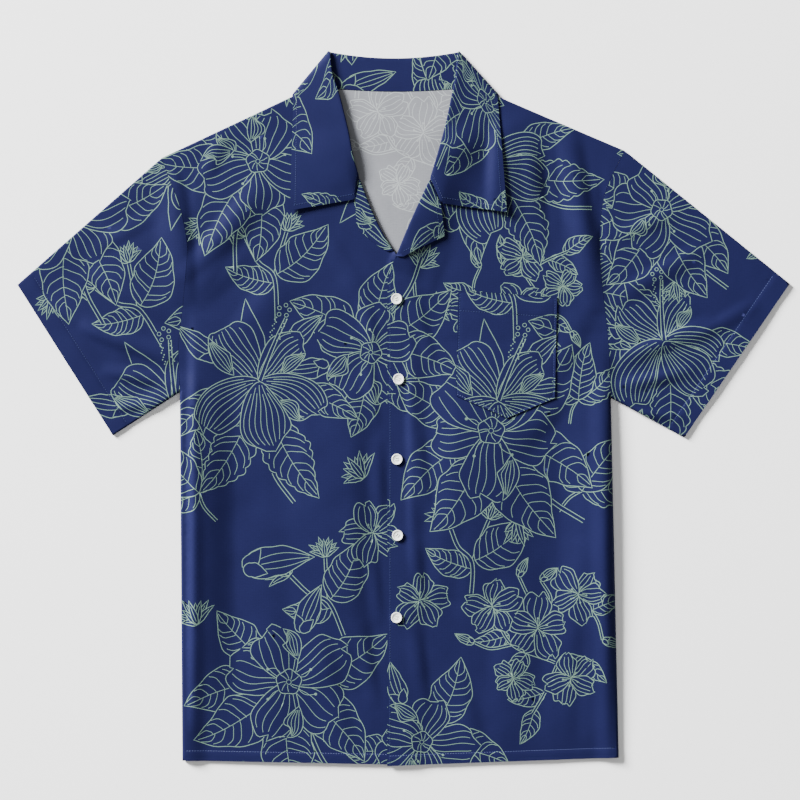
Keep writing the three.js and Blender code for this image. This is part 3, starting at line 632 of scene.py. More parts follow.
# One repeat of the cloth, 490 mm wide with a half drop: what, x, y, turn, size
repeat = {"width": 510.0, "height": 760.0, "halfDrop": 380.0}
layout = [
    (hibiscusBouquet, -158, 30, 0.1, 1.0),
    (openBouquet, 100, -30, 0.5, 1.06),
    (openBouquet, -160, 272, -0.5, 0.92),
    (openBouquet, -126, -300, 0.2, 1.0),
    (spray, 146, -256, 0.1, 1.08),
    (openBouquet, -36, 62, 2.3, 0.86),
    (openBouquet, 24, -372, 0.9, 0.84),
    (hibiscusBouquet, 96, 262, 1.0, 0.9),
    (branch, -142, 152, 0.0, 1.0),
    (branch, 80, -168, -0.1, 0.98),
    (closedBud, -176, -176, -1.25, 1.25),
    (spray, 140, 108, 2.6, 0.94),
    (crown, -44, -76, 0.6, 1.05),
    (smallBloom, -34, -136, 0.4, 1.25),
    (branch, -84, -206, 0.35, 0.95),
    (hibiscusBouquet, -24, 262, 2.4, 0.8),
    (twoLeaves, 200, -96, -0.9, 0.85),
    (crown, 22, 150, -0.5, 0.9),
    (closedBud, 20, 92, 1.3, 0.9),
    (twoLeaves, -224, -92, 0.5, 0.9),
    (smallBloom, 22, -216, 1.1, 1.1),
    (twoLeaves, 196, 4, -0.4, 0.7),
    (crown, -226, -236, 0.3, 0.95),
    (closedBud, 60, 190, 0.4, 1.0),
]


def clothPrint(low, high, shift=(0, 0), turn=0.0, seed=7):
    """Lines of the print over a box of a panel's own plane, from the cloth's repeat."""
    corners = asPoints([low, (high[0], low[1]), high, (low[0], high[1])])
    margin = 150
    onCloth = placed(corners, 0, 0, -turn) + shift
    lowest, highest = onCloth.min(axis=0) - margin, onCloth.max(axis=0) + margin
    drawing = newDrawing()
    columns = range(math.floor(lowest[0] / repeat["width"]) - 1, math.ceil(highest[0] / repeat["width"]) + 2)
    rows = range(math.floor(lowest[1] / repeat["height"]) - 2, math.ceil(highest[1] / repeat["height"]) + 2)
    for order, (motif, x, y, angle, size) in enumerate(layout):
        for column in columns:
            for row in rows:
                px = x + column * repeat["width"]
                py = y + row * repeat["height"] + (column % 2) * repeat["halfDrop"]
                if lowest[0] < px < highest[0] and lowest[1] < py < highest[1]:
                    rng = np.random.default_rng(seed * 100 + order)
                    motif(drawing, rng, px, py, angle, size)
    return [(placed(line - shift, 0, 0, turn), width) for line, width in drawing["lines"]]


def simplified(line, tolerance):
    if len(line) < 3:
        return line
    chord = line[-1] - line[0]
    span = max(1e-9, float(np.hypot(*chord)))
    off = np.abs(chord[0] * (line[:, 1] - line[0, 1]) - chord[1] * (line[:, 0] - line[0, 0])) / span
    if span < 1e-6:
        off = rowLengths(line - line[0])
    k = int(off.argmax())
    if off[k] < tolerance:
        return line[[0, -1]]
    return np.concatenate([simplified(line[:k + 1], tolerance)[:-1], simplified(line[k:], tolerance)])


def ribbon(line, width):
    """Left and right sides of a printed line."""
    line = simplified(line, printStyle["tolerance"])
    if rowLengths(np.diff(line, axis=0)).max() > printStyle["longest"]:
        pieces = [evenly(line[k:k + 2], printStyle["longest"])[:-1] for k in range(len(line) - 1)]
        line = np.concatenate([*pieces, line[-1:]])
    ahead = np.diff(line, axis=0)
    ahead /= np.maximum(1e-9, rowLengths(ahead))[:, None]
    joint = np.concatenate([ahead[:1], ahead[:-1] + ahead[1:], ahead[-1:]])
    if gapBetween(line[0], line[-1]) < 0.01:
        joint[0] = joint[-1] = ahead[0] + ahead[-1]
    joint /= np.maximum(1e-9, rowLengths(joint))[:, None]
    normal = np.stack([-joint[:, 1], joint[:, 0]], axis=1)
    return line + normal * width / 2, line - normal * width / 2


# Panels: a flat outline cut up around the print and the seam lines, then laid on its surface
materialSlots = ("cloth", "print", "inside", "insidePrint")


def trianglesOf(outlinePoints, guides, lines, step):
    points = []
    edges = []

    def addRun(run, closed=False):
        start = len(points)
        points.extend(Vector(p) for p in run)
        edges.extend((start + k, start + k + 1) for k in range(len(run) - 1))
        if closed:
            edges.append((start + len(run) - 1, start))

    addRun(outlinePoints, closed=True)
    for guide in guides:
        addRun(guide)
    low, high = outlinePoints.min(axis=0), outlinePoints.max(axis=0)
    crowd = [outlinePoints, *guides]
    patches = []
    for line, width in lines:
        if (line.max(axis=0) < low).any() or (line.min(axis=0) > high).any():
            continue
        if not insidePolygon(line, outlinePoints).any():
            continue
        a, b = ribbon(line, width)
        addRun(np.concatenate([a, b[::-1]]), closed=True)
        crowd += [a, b]
        patches += [np.array([a[k], a[k + 1], b[k + 1], b[k]]) for k in range(len(a) - 1)]
    grid = hexGrid(low, high, step)
    grid = grid[insidePolygon(grid, outlinePoints)]
    grid = farFrom(grid, np.concatenate(crowd), step * 0.42)
    points.extend(Vector(p) for p in grid)
    flat, _, found, _, _, _ = delaunay_2d_cdt(points, edges, [], 0, 1e-4, False)
    flat = np.array([tuple(p) for p in flat])
    triangles = np.array(found)
    middles = flat[triangles].mean(axis=1)
    inside = insidePolygon(middles, outlinePoints)
    triangles, middles = triangles[inside], middles[inside]
    printed = coveredBy(patches, middles)
    ahead, across = (flat[triangles[:, k]] - flat[triangles[:, 0]] for k in (1, 2))
    clockwise = ahead[:, 0] * across[:, 1] < ahead[:, 1] * across[:, 0]
    triangles[clockwise] = triangles[clockwise][:, ::-1]
    used, triangles = np.unique(triangles, return_inverse=True)
    return flat[used], triangles.reshape(-1, 3), printed


def coveredBy(patches, points):
    """Which of the points lie on one of the printed line's patches."""
    order = np.argsort(points[:, 0])
    ordered = points[order]
    covered = np.zeros(len(points), bool)
    for patch in patches:
        low, high = patch.min(axis=0), patch.max(axis=0)
        first, last = np.searchsorted(ordered[:, 0], (low[0], high[0]))
        near = order[first:last]
        near = near[(points[near, 1] > low[1]) & (points[near, 1] < high[1])]
        if len(near):
            covered[near] |= insidePolygon(points[near], patch)
    return covered


def hexGrid(low, high, step):
    rows = np.arange(low[1] + step / 2, high[1], step * 0.866)
    columns = [np.arange(low[0] + step * start, high[0], step) for start in (0.25, 0.75)]
    return np.array([(x, y) for k, y in enumerate(rows) for x in columns[k % 2]])


def farFrom(points, crowd, reach):
    """The points that no other point is within reach of, found on a grid of cells."""
    cell = np.floor(crowd / reach).astype(int)
    taken = {}
    for k, key in enumerate(map(tuple, cell)):
        taken.setdefault(key, []).append(k)
    keep = []
    for k, (i, j) in enumerate(np.floor(points / reach).astype(int)):
        near = [q for di in (-1, 0, 1) for dj in (-1, 0, 1) for q in taken.get((i + di, j + dj), ())]
        keep.append(not near or rowLengths(crowd[near] - points[k]).min() > reach)
    return points[np.array(keep, bool)]


def pointNormals(points, triangles):
    a, b, c = (points[triangles[:, k]] for k in range(3))
    face = np.cross(b - a, c - a)
    size = np.maximum(1e-12, rowLengths(face))[:, None]
    normals = np.zeros_like(points)
    for k in range(3):
        p, q, r = (points[triangles[:, (k + n) % 3]] for n in range(3))
        u, v = q - p, r - p
        cosine = (u * v).sum(axis=1) / np.maximum(1e-12, rowLengths(u) * rowLengths(v))
        np.add.at(normals, triangles[:, k], face / size * np.arccos(np.clip(cosine, -1, 1))[:, None])
    return normals / np.maximum(1e-12, rowLengths(normals))[:, None]


def openEdges(triangles):
    sides = np.concatenate([triangles[:, [0, 1]], triangles[:, [1, 2]], triangles[:, [2, 0]]])
    size = int(sides.max()) + 1
    there, back = sides[:, 0] * size + sides[:, 1], sides[:, 1] * size + sides[:, 0]
    return [tuple(side) for side in sides[~np.isin(there, back)].tolist()]


def shellObject(name, flat, triangles, printed, place, outerIsUp=True, innerPrinted=None, levelEdges=True):
    """A panel's closed wall. Its outer side wears the print, its inner side is the cloth's wrong side."""
    surface = place(flat)
    if not outerIsUp:
        triangles = triangles[:, ::-1]
    normals = pointNormals(surface, triangles)
    rim = np.array(openEdges(triangles))
    if levelEdges:
        edge = np.unique(rim)
        tilted = edge[np.abs(normals[edge, 2]) < 0.75]
        normals[tilted, 2] = 0
        normals[tilted] /= np.maximum(1e-9, rowLengths(normals[tilted]))[:, None]
    half = cloth["thickness"] / 2
    count = len(surface)
    points = np.concatenate([surface + normals * half, surface - normals * half]) * metre
    walls = [(b, a, a + count, b + count) for a, b in rim]
    inner = triangles[:, ::-1] + count
    mesh = bpy.data.meshes.new(name)
    mesh.from_pydata(points.tolist(), [], [*triangles.tolist(), *inner.tolist(), *walls])
    slots = np.where(printed, 1, 0)
    under = np.where(printed, 3, 2)
    if innerPrinted is not None:
        under = np.where(innerPrinted(flat[triangles].mean(axis=1)), slots, under)
    mesh.polygons.foreach_set("material_index", np.concatenate([slots, under, np.zeros(len(walls), int)]))
    for slot in materialSlots:
        mesh.materials.append(clothMaterials[slot])
    grain = mesh.uv_layers.new(name="grain")
    both = np.concatenate([flat, flat]) * metre
    corners = np.zeros(len(mesh.loops), int)
    mesh.loops.foreach_get("vertex_index", corners)
    grain.data.foreach_set("uv", both[corners].ravel())
    mesh.polygons.foreach_set("use_smooth", np.ones(len(mesh.polygons), bool))
    sharp = mesh.attributes.new("sharp_edge", "BOOLEAN", "EDGE")
    ends = np.zeros(len(mesh.edges) * 2, int)
    mesh.edges.foreach_get("vertices", ends)
    rimKeys = {tuple(sorted(map(int, pair))) for a, b in rim for pair in ((a, b), (a + count, b + count))}
    sharp.data.foreach_set("value", [tuple(sorted(pair)) in rimKeys for pair in ends.reshape(-1, 2).tolist()])
    mesh.update()
    piece = bpy.data.objects.new(name, mesh)
    bpy.context.collection.objects.link(piece)
    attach(piece, "root")
    print(name, "made:", 2 * len(triangles) + 2 * len(walls), "triangles")
    return piece


# Materials
def newMaterial(name):
    material = bpy.data.materials.new(name)
    material.use_nodes = True
    material.node_tree.nodes.clear()
    return material, material.node_tree.nodes, material.node_tree.links


clothLook = {
    "cloth": {"low": (0.0057, 0.0067, 0.034, 1), "high": (0.0068, 0.0080, 0.039, 1)},
    "print": {"low": (0.096, 0.158, 0.120, 1), "high": (0.118, 0.190, 0.143, 1)},
    "inside": {"low": (0.155, 0.160, 0.176, 1), "high": (0.182, 0.188, 0.205, 1)},
    "insidePrint": {"low": (0.250, 0.268, 0.272, 1), "high": (0.290, 0.310, 0.315, 1)},
    "threadsPerMetre": 3600.0, "weaveBump": 0.12, "roughness": 0.62, "sheen": 0.01,
}


def clothMaterial(name):
    material, nodes, links = newMaterial(name)
    output = nodes.new("ShaderNodeOutputMaterial")
    shader = nodes.new("ShaderNodeBsdfPrincipled")
    shader.inputs["Roughness"].default_value = clothLook["roughness"]
    shader.inputs["Sheen Weight"].default_value = clothLook["sheen"]
    shader.inputs["Sheen Roughness"].default_value = 0.5
    shader.inputs["Specular IOR Level"].default_value = 0.04
    links.new(shader.outputs["BSDF"], output.inputs["Surface"])
    grain = nodes.new("ShaderNodeUVMap")
    grain.uv_map = "grain"
    place = nodes.new("ShaderNodeTexCoord")
    tone = nodes.new("ShaderNodeTexNoise")      # slight unevenness of the dye
    tone.inputs["Scale"].default_value = 26
    tone.inputs["Detail"].default_value = 4
    links.new(place.outputs["Object"], tone.inputs["Vector"])
    slub = nodes.new("ShaderNodeTexNoise")      # slubs of the yarn, long across the grain
    slub.inputs["Scale"].default_value = 1
    slub.inputs["Detail"].default_value = 3
    stretch = nodes.new("ShaderNodeMapping")
    stretch.inputs["Scale"].default_value = (160, 1400, 1)
    links.new(grain.outputs["UV"], stretch.inputs["Vector"])
    links.new(stretch.outputs["Vector"], slub.inputs["Vector"])
    blend = nodes.new("ShaderNodeMath")
    blend.operation = "ADD"
    links.new(tone.outputs["Fac"], blend.inputs[0])
    links.new(slub.outputs["Fac"], blend.inputs[1])
    ramp = nodes.new("ShaderNodeValToRGB")
    ramp.color_ramp.elements[0].position = 0.38
    ramp.color_ramp.elements[1].position = 0.62
    ramp.color_ramp.elements[0].color = clothLook[name]["low"]
    ramp.color_ramp.elements[1].color = clothLook[name]["high"]
    halve = nodes.new("ShaderNodeMath")
    halve.operation = "MULTIPLY"
    halve.inputs[1].default_value = 0.5
    links.new(blend.outputs["Value"], halve.inputs[0])
    links.new(halve.outputs["Value"], ramp.inputs["Fac"])
    links.new(ramp.outputs["Color"], shader.inputs["Base Color"])
    heights = []
    for direction in ("X", "Y"):                # plain weave: two sets of threads
        wave = nodes.new("ShaderNodeTexWave")
        wave.bands_direction = direction
        wave.inputs["Scale"].default_value = clothLook["threadsPerMetre"] / 20
        wave.inputs["Distortion"].default_value = 0.6
        links.new(grain.outputs["UV"], wave.inputs["Vector"])
        heights.append(wave.outputs["Fac"])
    weave = nodes.new("ShaderNodeMath")
    weave.operation = "MULTIPLY"
    links.new(heights[0], weave.inputs[0])
    links.new(heights[1], weave.inputs[1])
    relief = nodes.new("ShaderNodeMath")
    relief.operation = "ADD"
    links.new(weave.outputs["Value"], relief.inputs[0])
    links.new(slub.outputs["Fac"], relief.inputs[1])
    bump = nodes.new("ShaderNodeBump")
    bump.inputs["Strength"].default_value = clothLook["weaveBump"]
    bump.inputs["Distance"].default_value = 0.0002
    links.new(relief.outputs["Value"], bump.inputs["Height"])
    links.new(bump.outputs["Normal"], shader.inputs["Normal"])
    return material


clothMaterials = {name: clothMaterial(name) for name in materialSlots}
print("cloth materials made")


# Roll line, where cloth turns back over itself
def rollLine(points, neckward):
    line = pointsAlong(splineThrough(points), np.linspace(0, 1, 81))
    ahead = np.gradient(line, axis=0)
    ahead /= rowLengths(ahead)[:, None]
    upward = np.where(ahead[:, 1:] > 0, 1, -1)
    outward = np.stack([ahead[:, 1], -ahead[:, 0]], axis=1) * upward * neckward
    return line - outward * turnInset, outward


def rollAt(roll, shares):
    middle, outward = roll
    at = np.linspace(0, 1, len(middle))
    pick = [np.stack([np.interp(shares, at, row[:, axis]) for axis in (0, 1)], axis=1)
            for row in (middle, outward)]
    return pick[0], pick[1] / rowLengths(pick[1])[:, None]


def armholeLine(half):
    return splineThrough([half["underarm"], *half["armhole"], half["shoulder"]])


def frontNeckSeam(half):
    start = np.array(half["gorge"]) - (half["neckward"] * 5.0, 0)
    bow = (start + half["neckPoint"]) / 2 - (half["neckward"] * 2.5, 0)
    return splineThrough([start, bow, half["neckPoint"]])


def offsetLine(line, distance):
    ahead = np.gradient(line, axis=0)
    ahead /= rowLengths(ahead)[:, None]
    return line + np.stack([-ahead[:, 1], ahead[:, 0]], axis=1) * distance


def insetRows(edgePoints, towards, distances):
    """Lines beside an edge, moved towards a point's side of it."""
    rows = []
    for distance in distances:
        ahead = unit(edgePoints[0], edgePoints[-1])
        normal = np.array((-ahead[1], ahead[0]))
        if normal @ (np.array(towards) - edgePoints[0]) < 0:
            normal = -normal
        trim = ahead * min(distance, 6) * 0.6
        rows.append(evenly(np.array([edgePoints[0] + normal * distance + trim,
                                     edgePoints[-1] + normal * distance - trim]), cloth["lineStep"]))
    return rows


# Fronts, each with its lapel cut in one with it and turned back at the roll line
fronts = {
    "front_right": {"half": right, "upper": False, "shift": (0, 0), "hem": 11.0},
    "front_left": {"half": left, "upper": True, "shift": (4, -6), "hem": 11.0},
}


def frontHeight(points, upper):
    front, _ = layerHeights(points, cloth["seamGap"])
    return front + (overlapRise(points) if upper else 0)


def hemStep(distance, band):
    """The doubled cloth of a hem, with the soft dent of its stitching."""
    return 0.3 * (1 - smooth(band - 0.6, band + 0.8, distance)) - 0.22 * np.exp(-((distance - band) / 1.1) ** 2)


def frontPanel(name):
    spec = fronts[name]
    half = spec["half"]
    roll = rollLine([half["breakPoint"], *half["lapelRoll"], half["gorge"]], half["neckward"])
    middle, outward = roll
    turnWidth = math.pi * turnRadius

    def unrolled(points):
        share, distance, _ = nearestOn(middle, points)
        base, away = rollAt(roll, share)
        return base + away * (turnWidth + distance)[:, None]

    lapelPlan = asPoints([half["notch"], *half["lapelEdge"][::-1], half["lapelEnd"]])
    lapelEdge = evenly(unrolled(evenly(lapelPlan, 1.0)), cloth["lineStep"])
    top = np.array([middle[-1], middle[-1] + outward[-1] * turnWidth])
    bottom = np.array([middle[0] + outward[0] * turnWidth, middle[0]])
    armhole = armholeLine(half) + (half["neckward"] * cloth["seamGap"] / 2, 0)
    side = evenly(asPoints([half["sideHem"], half["underarm"]]), cloth["lineStep"])
    shoulder = evenly(asPoints([half["shoulder"], half["neckPoint"]]), cloth["lineStep"])
    frontEdge = evenly(asPoints([half["breakPoint"], *half["frontEdge"], half["frontHem"]]), cloth["lineStep"])
    hem = evenly(asPoints([half["frontHem"], half["sideHem"]]), cloth["lineStep"])
    edgeParts = [side, evenly(armhole, 3.0), shoulder, evenly(frontNeckSeam(half)[::-1], cloth["lineStep"]),
                 top, lapelEdge, bottom, frontEdge, hem]
    border = np.concatenate([part[:-1] for part in edgeParts])
    lapelZone = np.concatenate([middle, [top[1]], lapelEdge, [bottom[0]]])

    def onLapel(points, beyond):
        rim = np.min([segmentPlace(a, b, points)[1] for a, b in zip(lapelZone[len(middle) - 1:], lapelZone[len(middle):])],
                     axis=0)
        return (insidePolygon(points, lapelZone) | (rim < 0.02)) & (beyond > 1e-6)

    def place(points):
        share, distance, _ = nearestOn(middle, points)
        base, away = rollAt(roll, share)
        beyond = ((points - base) * away).sum(axis=1)
        turned = onLapel(points, beyond)
        angle = np.clip(beyond / turnRadius, 0, math.pi)
        onTurn = base + away * (turnRadius * np.sin(angle))[:, None]
        folded = base - away * np.maximum(0, beyond - turnWidth)[:, None]
        plan = np.where(turned[:, None], np.where((beyond < turnWidth)[:, None], onTurn, folded), points)
        bed = np.where((turned & (beyond < turnWidth))[:, None], base, plan)
        height = frontHeight(bed, spec["upper"])
        lift = turnRadius * (1 - np.cos(angle))
        past = smooth(0, 25, beyond - turnWidth)
        height = height + np.where(turned, lift + 0.5 * past, 0)
        hemDistance = segmentPlace(half["frontHem"], half["sideHem"], points)[1]
        height = height + np.where(turned, 0, hemStep(hemDistance, spec["hem"]))
        return np.column_stack([plan, height])

    rollRows = [middle + outward * turnWidth * part for part in (0, 0.2, 0.4, 0.6, 0.8, 1)]
    guides = [evenly(row[2:-2], cloth["lineStep"]) for row in rollRows]
    centre = (half["neckward"] * -100, 0)
    guides += insetRows(side, centre, cloth["turnRows"])
    guides += insetRows(shoulder, centre, (0.35, 1.0, 1.8))
    guides += insetRows(hem, centre, (0.6, spec["hem"] - 0.9, spec["hem"], spec["hem"] + 1.2))
    lines = clothPrint(border.min(axis=0), border.max(axis=0), spec["shift"])
    flat, triangles, printed = trianglesOf(border, guides, lines, cloth["gridStep"])
    piece = shellObject(name + "_cloth", flat, triangles, printed, place,
                        innerPrinted=lambda at: insidePolygon(at, lapelZone))
    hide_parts(name)
    edgeIn = half["neckward"] * 3.0
    hemLine = insetRows(hem, centre, (spec["hem"],))[0]
    edgeLine = evenly(asPoints([*half["frontEdge"], half["frontHem"]]), 8.0) - (edgeIn, 0)
    lapelIn = offsetLine(evenly(lapelEdge, 3.0), half["neckward"] * -5.0)[2:-2]
    stitchLines = [hemLine, edgeLine[1:], lapelIn]
    return {"piece": piece, "border": border, "place": place, "stitchLines": stitchLines}


def flatSize(border):
    area = 0.5 * abs(np.dot(border[:, 0], np.roll(border[:, 1], -1)) - np.dot(border[:, 1], np.roll(border[:, 0], -1)))
    width, length = (border.max(axis=0) - border.min(axis=0)) * metre
    return (float(width), float(length)), float(area) * metre ** 2


frontPieces = {name: frontPanel(name) for name in fronts}

# Back
back = {"shift": (130, 210), "hem": 11.0}


def backPanel():
    shoulders = [asPoints([half["shoulder"], half["neckPoint"]]) for half in (right, left)]
    t = np.linspace(0, 1, 45)
    neck = np.array(right["neckPoint"]) + t[:, None] * (np.array(left["neckPoint"]) - right["neckPoint"])
    neck[:, 1] -= neckSeamDip * np.sin(np.pi * t)
    sides = [evenly(asPoints([half["sideHem"], half["underarm"]]), cloth["lineStep"]) for half in (right, left)]
    armholes = [evenly(armholeLine(half) + (half["neckward"] * cloth["seamGap"] / 2, 0), 3.0)
                for half in (right, left)]
    tops = [evenly(line, cloth["lineStep"]) for line in shoulders]
    hem = evenly(asPoints([left["sideHem"], right["sideHem"]]), cloth["lineStep"])
    border = np.concatenate([part[:-1] for part in (
        sides[0], armholes[0], tops[0], neck, tops[1][::-1], armholes[1][::-1], sides[1][::-1], hem)])

    def place(points):
        _, height = layerHeights(points, cloth["seamGap"])
        distance = outlineDistance(points)
        dent = creaseHeight(points, backCreases) * smooth(4, 20, distance)
        height = height + dent * (1 - collarRise(points) / cloth["layerStep"])
        return np.column_stack([points, height])

    guides = []
    for line in (*sides, *tops):
        guides += insetRows(line, (0, 0), cloth["turnRows"])
    guides += insetRows(hem, (0, 0), (0.6, back["hem"] - 0.9, back["hem"], back["hem"] + 1.2))
    lines = clothPrint(border.min(axis=0), border.max(axis=0), back["shift"], 0.0, 7)
    flat, triangles, printed = trianglesOf(border, guides, lines, 8.5)
    piece = shellObject("back_cloth", flat, triangles, printed, place, outerIsUp=False)
    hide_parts("back")
    hemLine = insetRows(hem, (0, 0), (back["hem"],))[0]
    return {"piece": piece, "border": border, "place": place, "stitchLines": [hemLine]}


backPanelMade = backPanel()

# Sleeves: upper and under side in one piece, turned over along the top fold
sleeves = {
    "sleeve_right": {"half": right, "shift": (60, -90), "turn": 0.5, "hem": 20.0},
    "sleeve_left": {"half": left, "shift": (-120, 60), "turn": -0.5, "hem": 20.0},
}


def sleevePanel(name):
    spec = sleeves[name]
    half = spec["half"]
    outerWay = unit(half["shoulder"], half["cuffTop"])
    armhole = armholeLine(half)
    share = np.linspace(0, 1, len(armhole))[:, None]
    cuffPoints = np.array(half["cuffBottom"]) + share * (np.array(half["cuffTop"]) - half["cuffBottom"])
    away = cuffPoints - armhole
    armhole = armhole + away / rowLengths(away)[:, None] * cloth["armholeGap"]
    armhole = evenly(armhole, 3.0)
    cuff = evenly(asPoints([half["cuffTop"], half["cuffBottom"]]), cloth["lineStep"])
    under = evenly(asPoints([half["cuffBottom"], armhole[0]]), cloth["lineStep"])
    fold = asPoints([armhole[-1], half["cuffTop"]])
    foldNormal = np.array((-outerWay[1], outerWay[0]))

    def mirrored(points):
        off = (points - fold[0]) @ foldNormal
        return points - 2 * off[:, None] * foldNormal

    upperSide = np.sign((np.array(half["cuffBottom"]) - fold[0]) @ foldNormal)
    upperPart = np.concatenate([armhole[:-1], [fold[0]]])
    border = np.concatenate([upperPart, mirrored(armhole[::-1])[1:-1], mirrored(under[::-1])[:-1],
                             mirrored(cuff[::-1])[:-1], cuff[:-1], under[:-1]])

    def place(points):
        off = (points - fold[0]) @ foldNormal * upperSide
        plan = np.where((off < 0)[:, None], mirrored(points), points)
        front, back = layerHeights(plan, 0.0)
        cuffDistance = segmentPlace(half["cuffTop"], half["cuffBottom"], plan)[1]
        step = hemStep(cuffDistance, spec["hem"])
        return np.column_stack([plan, np.where(off < 0, back, front + step)])

    foldLine = evenly(fold, cloth["lineStep"])
    centre = np.array(half["cuffBottom"])
    upperRows = insetRows(foldLine, centre, (0.2, 0.5, 1.0, 2.0))
    underRows = insetRows(under, armhole[len(armhole) // 2], (0.35, 1.0, 2.0, 4.0))
    hemRows = insetRows(cuff, armhole[0], (0.6, spec["hem"] - 0.9, spec["hem"], spec["hem"] + 1.2))
    guides = [foldLine[1:-1]]
    for row in (*upperRows, *underRows, *hemRows):
        guides += [row, mirrored(row)]
    lines = clothPrint(border.min(axis=0), border.max(axis=0), spec["shift"], spec["turn"])
    flat, triangles, printed = trianglesOf(border, guides, lines, cloth["gridStep"])
    piece = shellObject(name + "_cloth", flat, triangles, printed, place)
    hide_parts(name)
    cuffLine = insetRows(cuff, armhole[0], (spec["hem"],))[0]
    return {"piece": piece, "border": border, "place": place, "stitchLines": [cuffLine, mirrored(cuffLine)]}


sleevePieces = {name: sleevePanel(name) for name in sleeves}

# Chest pocket, made from the front's own surface
pocket = {
    "topInner": (60.2, 130.1), "topOuter": (168.5, 122.7), "bottomInner": (57.2, 14.7),
    "point": (113.3, -10.1), "bottomOuter": (166.1, 11.9), "hem": 22.0, "shift": (-262, 22),
}


def pocketPanel():
    corners = [pocket[key] for key in ("bottomInner", "point", "bottomOuter", "topOuter", "topInner", "bottomInner")]
    border = np.concatenate([evenly(asPoints(corners[k:k + 2]), cloth["lineStep"])[:-1] for k in range(5)])

    def place(points):
        base = frontHeight(points, True) + cloth["layerStep"]
        inward = np.min([segmentPlace(a, b, points)[1] for a, b in zip(corners, corners[1:])], axis=0)
        topDistance = segmentPlace(pocket["topInner"], pocket["topOuter"], points)[1]
        bulge = 0.7 * smooth(2, 26, inward) - 0.25 * np.exp(-((inward - 2) / 1.2) ** 2)
        return np.column_stack([points, base + bulge + 0.6 * hemStep(topDistance, pocket["hem"])])

    centre = (112, 60)
    guides = []
    for a, b in zip(corners, corners[1:]):
        guides += insetRows(asPoints([a, b]), centre, (0.8, 2.0, 3.4))
    guides += insetRows(asPoints([pocket["topInner"], pocket["topOuter"]]), centre,
                        (pocket["hem"] - 1.0, pocket["hem"], pocket["hem"] + 1.0))
    lines = clothPrint(border.min(axis=0), border.max(axis=0), pocket["shift"])
    flat, triangles, printed = trianglesOf(border, guides, lines, cloth["gridStep"])
    piece = shellObject("pocket_cloth", flat, triangles, printed, place)
    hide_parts("pocket")
    stitchLines = [insetRows(asPoints(corners[k:k + 2]), centre, (2.0,))[0] for k in (0, 1, 2, 4)]
    stitchLines += insetRows(asPoints([pocket["topInner"], pocket["topOuter"]]), centre, (pocket["hem"],))
    return {"piece": piece, "border": border, "place": place, "stitchLines": stitchLines}


pocketMade = pocketPanel()

# Collar: one band that stands inside the neck, turns over at its roll and falls outside it
collar = {
    "corner": 2.6, "falls": 24, "stands": 10, "turns": 6, "leafSteps": 36, "backSteps": 36,
    "cornerSteps": 8, "standGap": 0.7, "standFootEase": 4, "gorgeGap": 0.5, "notchShare": 0.25,
    "lift": 2.6, "liftEase": 1.1, "shift": (220, -40), "stitch": 5.5,
}


def mixed(a, b, t):
    return np.array(a, float) + (np.array(b, float) - np.array(a, float)) * t


def collarHalf(half):
    side = unit(half["collarSide"], half["collarCorner"])
    way = half["neckward"]
    outwards = np.array((-side[1], side[0])) * way
    corner = np.array(half["collarCorner"]) - side * turnInset
    fallSide = np.array(half["collarSide"], float)
    standEnd = np.array(half["neckPoint"]) + unit(half["neckPoint"], corner) * collar["standGap"]
    roll = rollLine([half["gorge"], *half["collarRoll"][::-1], half["collarCorner"]], way)
    clear = np.array((-way, 1)) * collar["gorgeGap"]
    bottomPoints = np.array([roll[0][0], half["notch"], half["collarPoint"]]) + clear
    shares = (0, collar["notchShare"], 1)

    def bottom(w):
        return np.array([np.interp(w, shares, bottomPoints[:, axis]) for axis in (0, 1)])

    outer = splineThrough([bottom(1), half["collarOuter"], fallSide])
    seam = frontNeckSeam(half)
    seamShift = np.array((way, 1)) * collar["standGap"]

    def rollMiddle(v):
        middle, outward = (part[0] for part in rollAt(roll, np.array([v])))
        if v < 0.02:
            middle = mixed(bottom(0), middle, v / 0.02)
        if v > 0.94:
            middle = mixed(middle, corner, (v - 0.94) / 0.06)
        return middle, outward

    def leafPoint(w, v):
        start, end = rollMiddle(v)[0], pointsAlong(outer, np.array([v]))[0]
        across = mixed(bottom(w), mixed(corner, fallSide, w), v)
        corners = mixed(mixed(bottom(0), bottom(1), w), mixed(corner, fallSide, w), v)
        return across + mixed(start, end, w) - corners

    def standFoot(v):
        return mixed(pointsAlong(seam, np.array([v]))[0] + seamShift, standEnd,
                     v ** collar["standFootEase"])

    return {"corner": corner, "fallSide": fallSide, "standEnd": standEnd, "outwards": outwards,
            "rollMiddle": rollMiddle, "leafPoint": leafPoint, "standFoot": standFoot,
            "rollLoft": half["rollLoft"]}


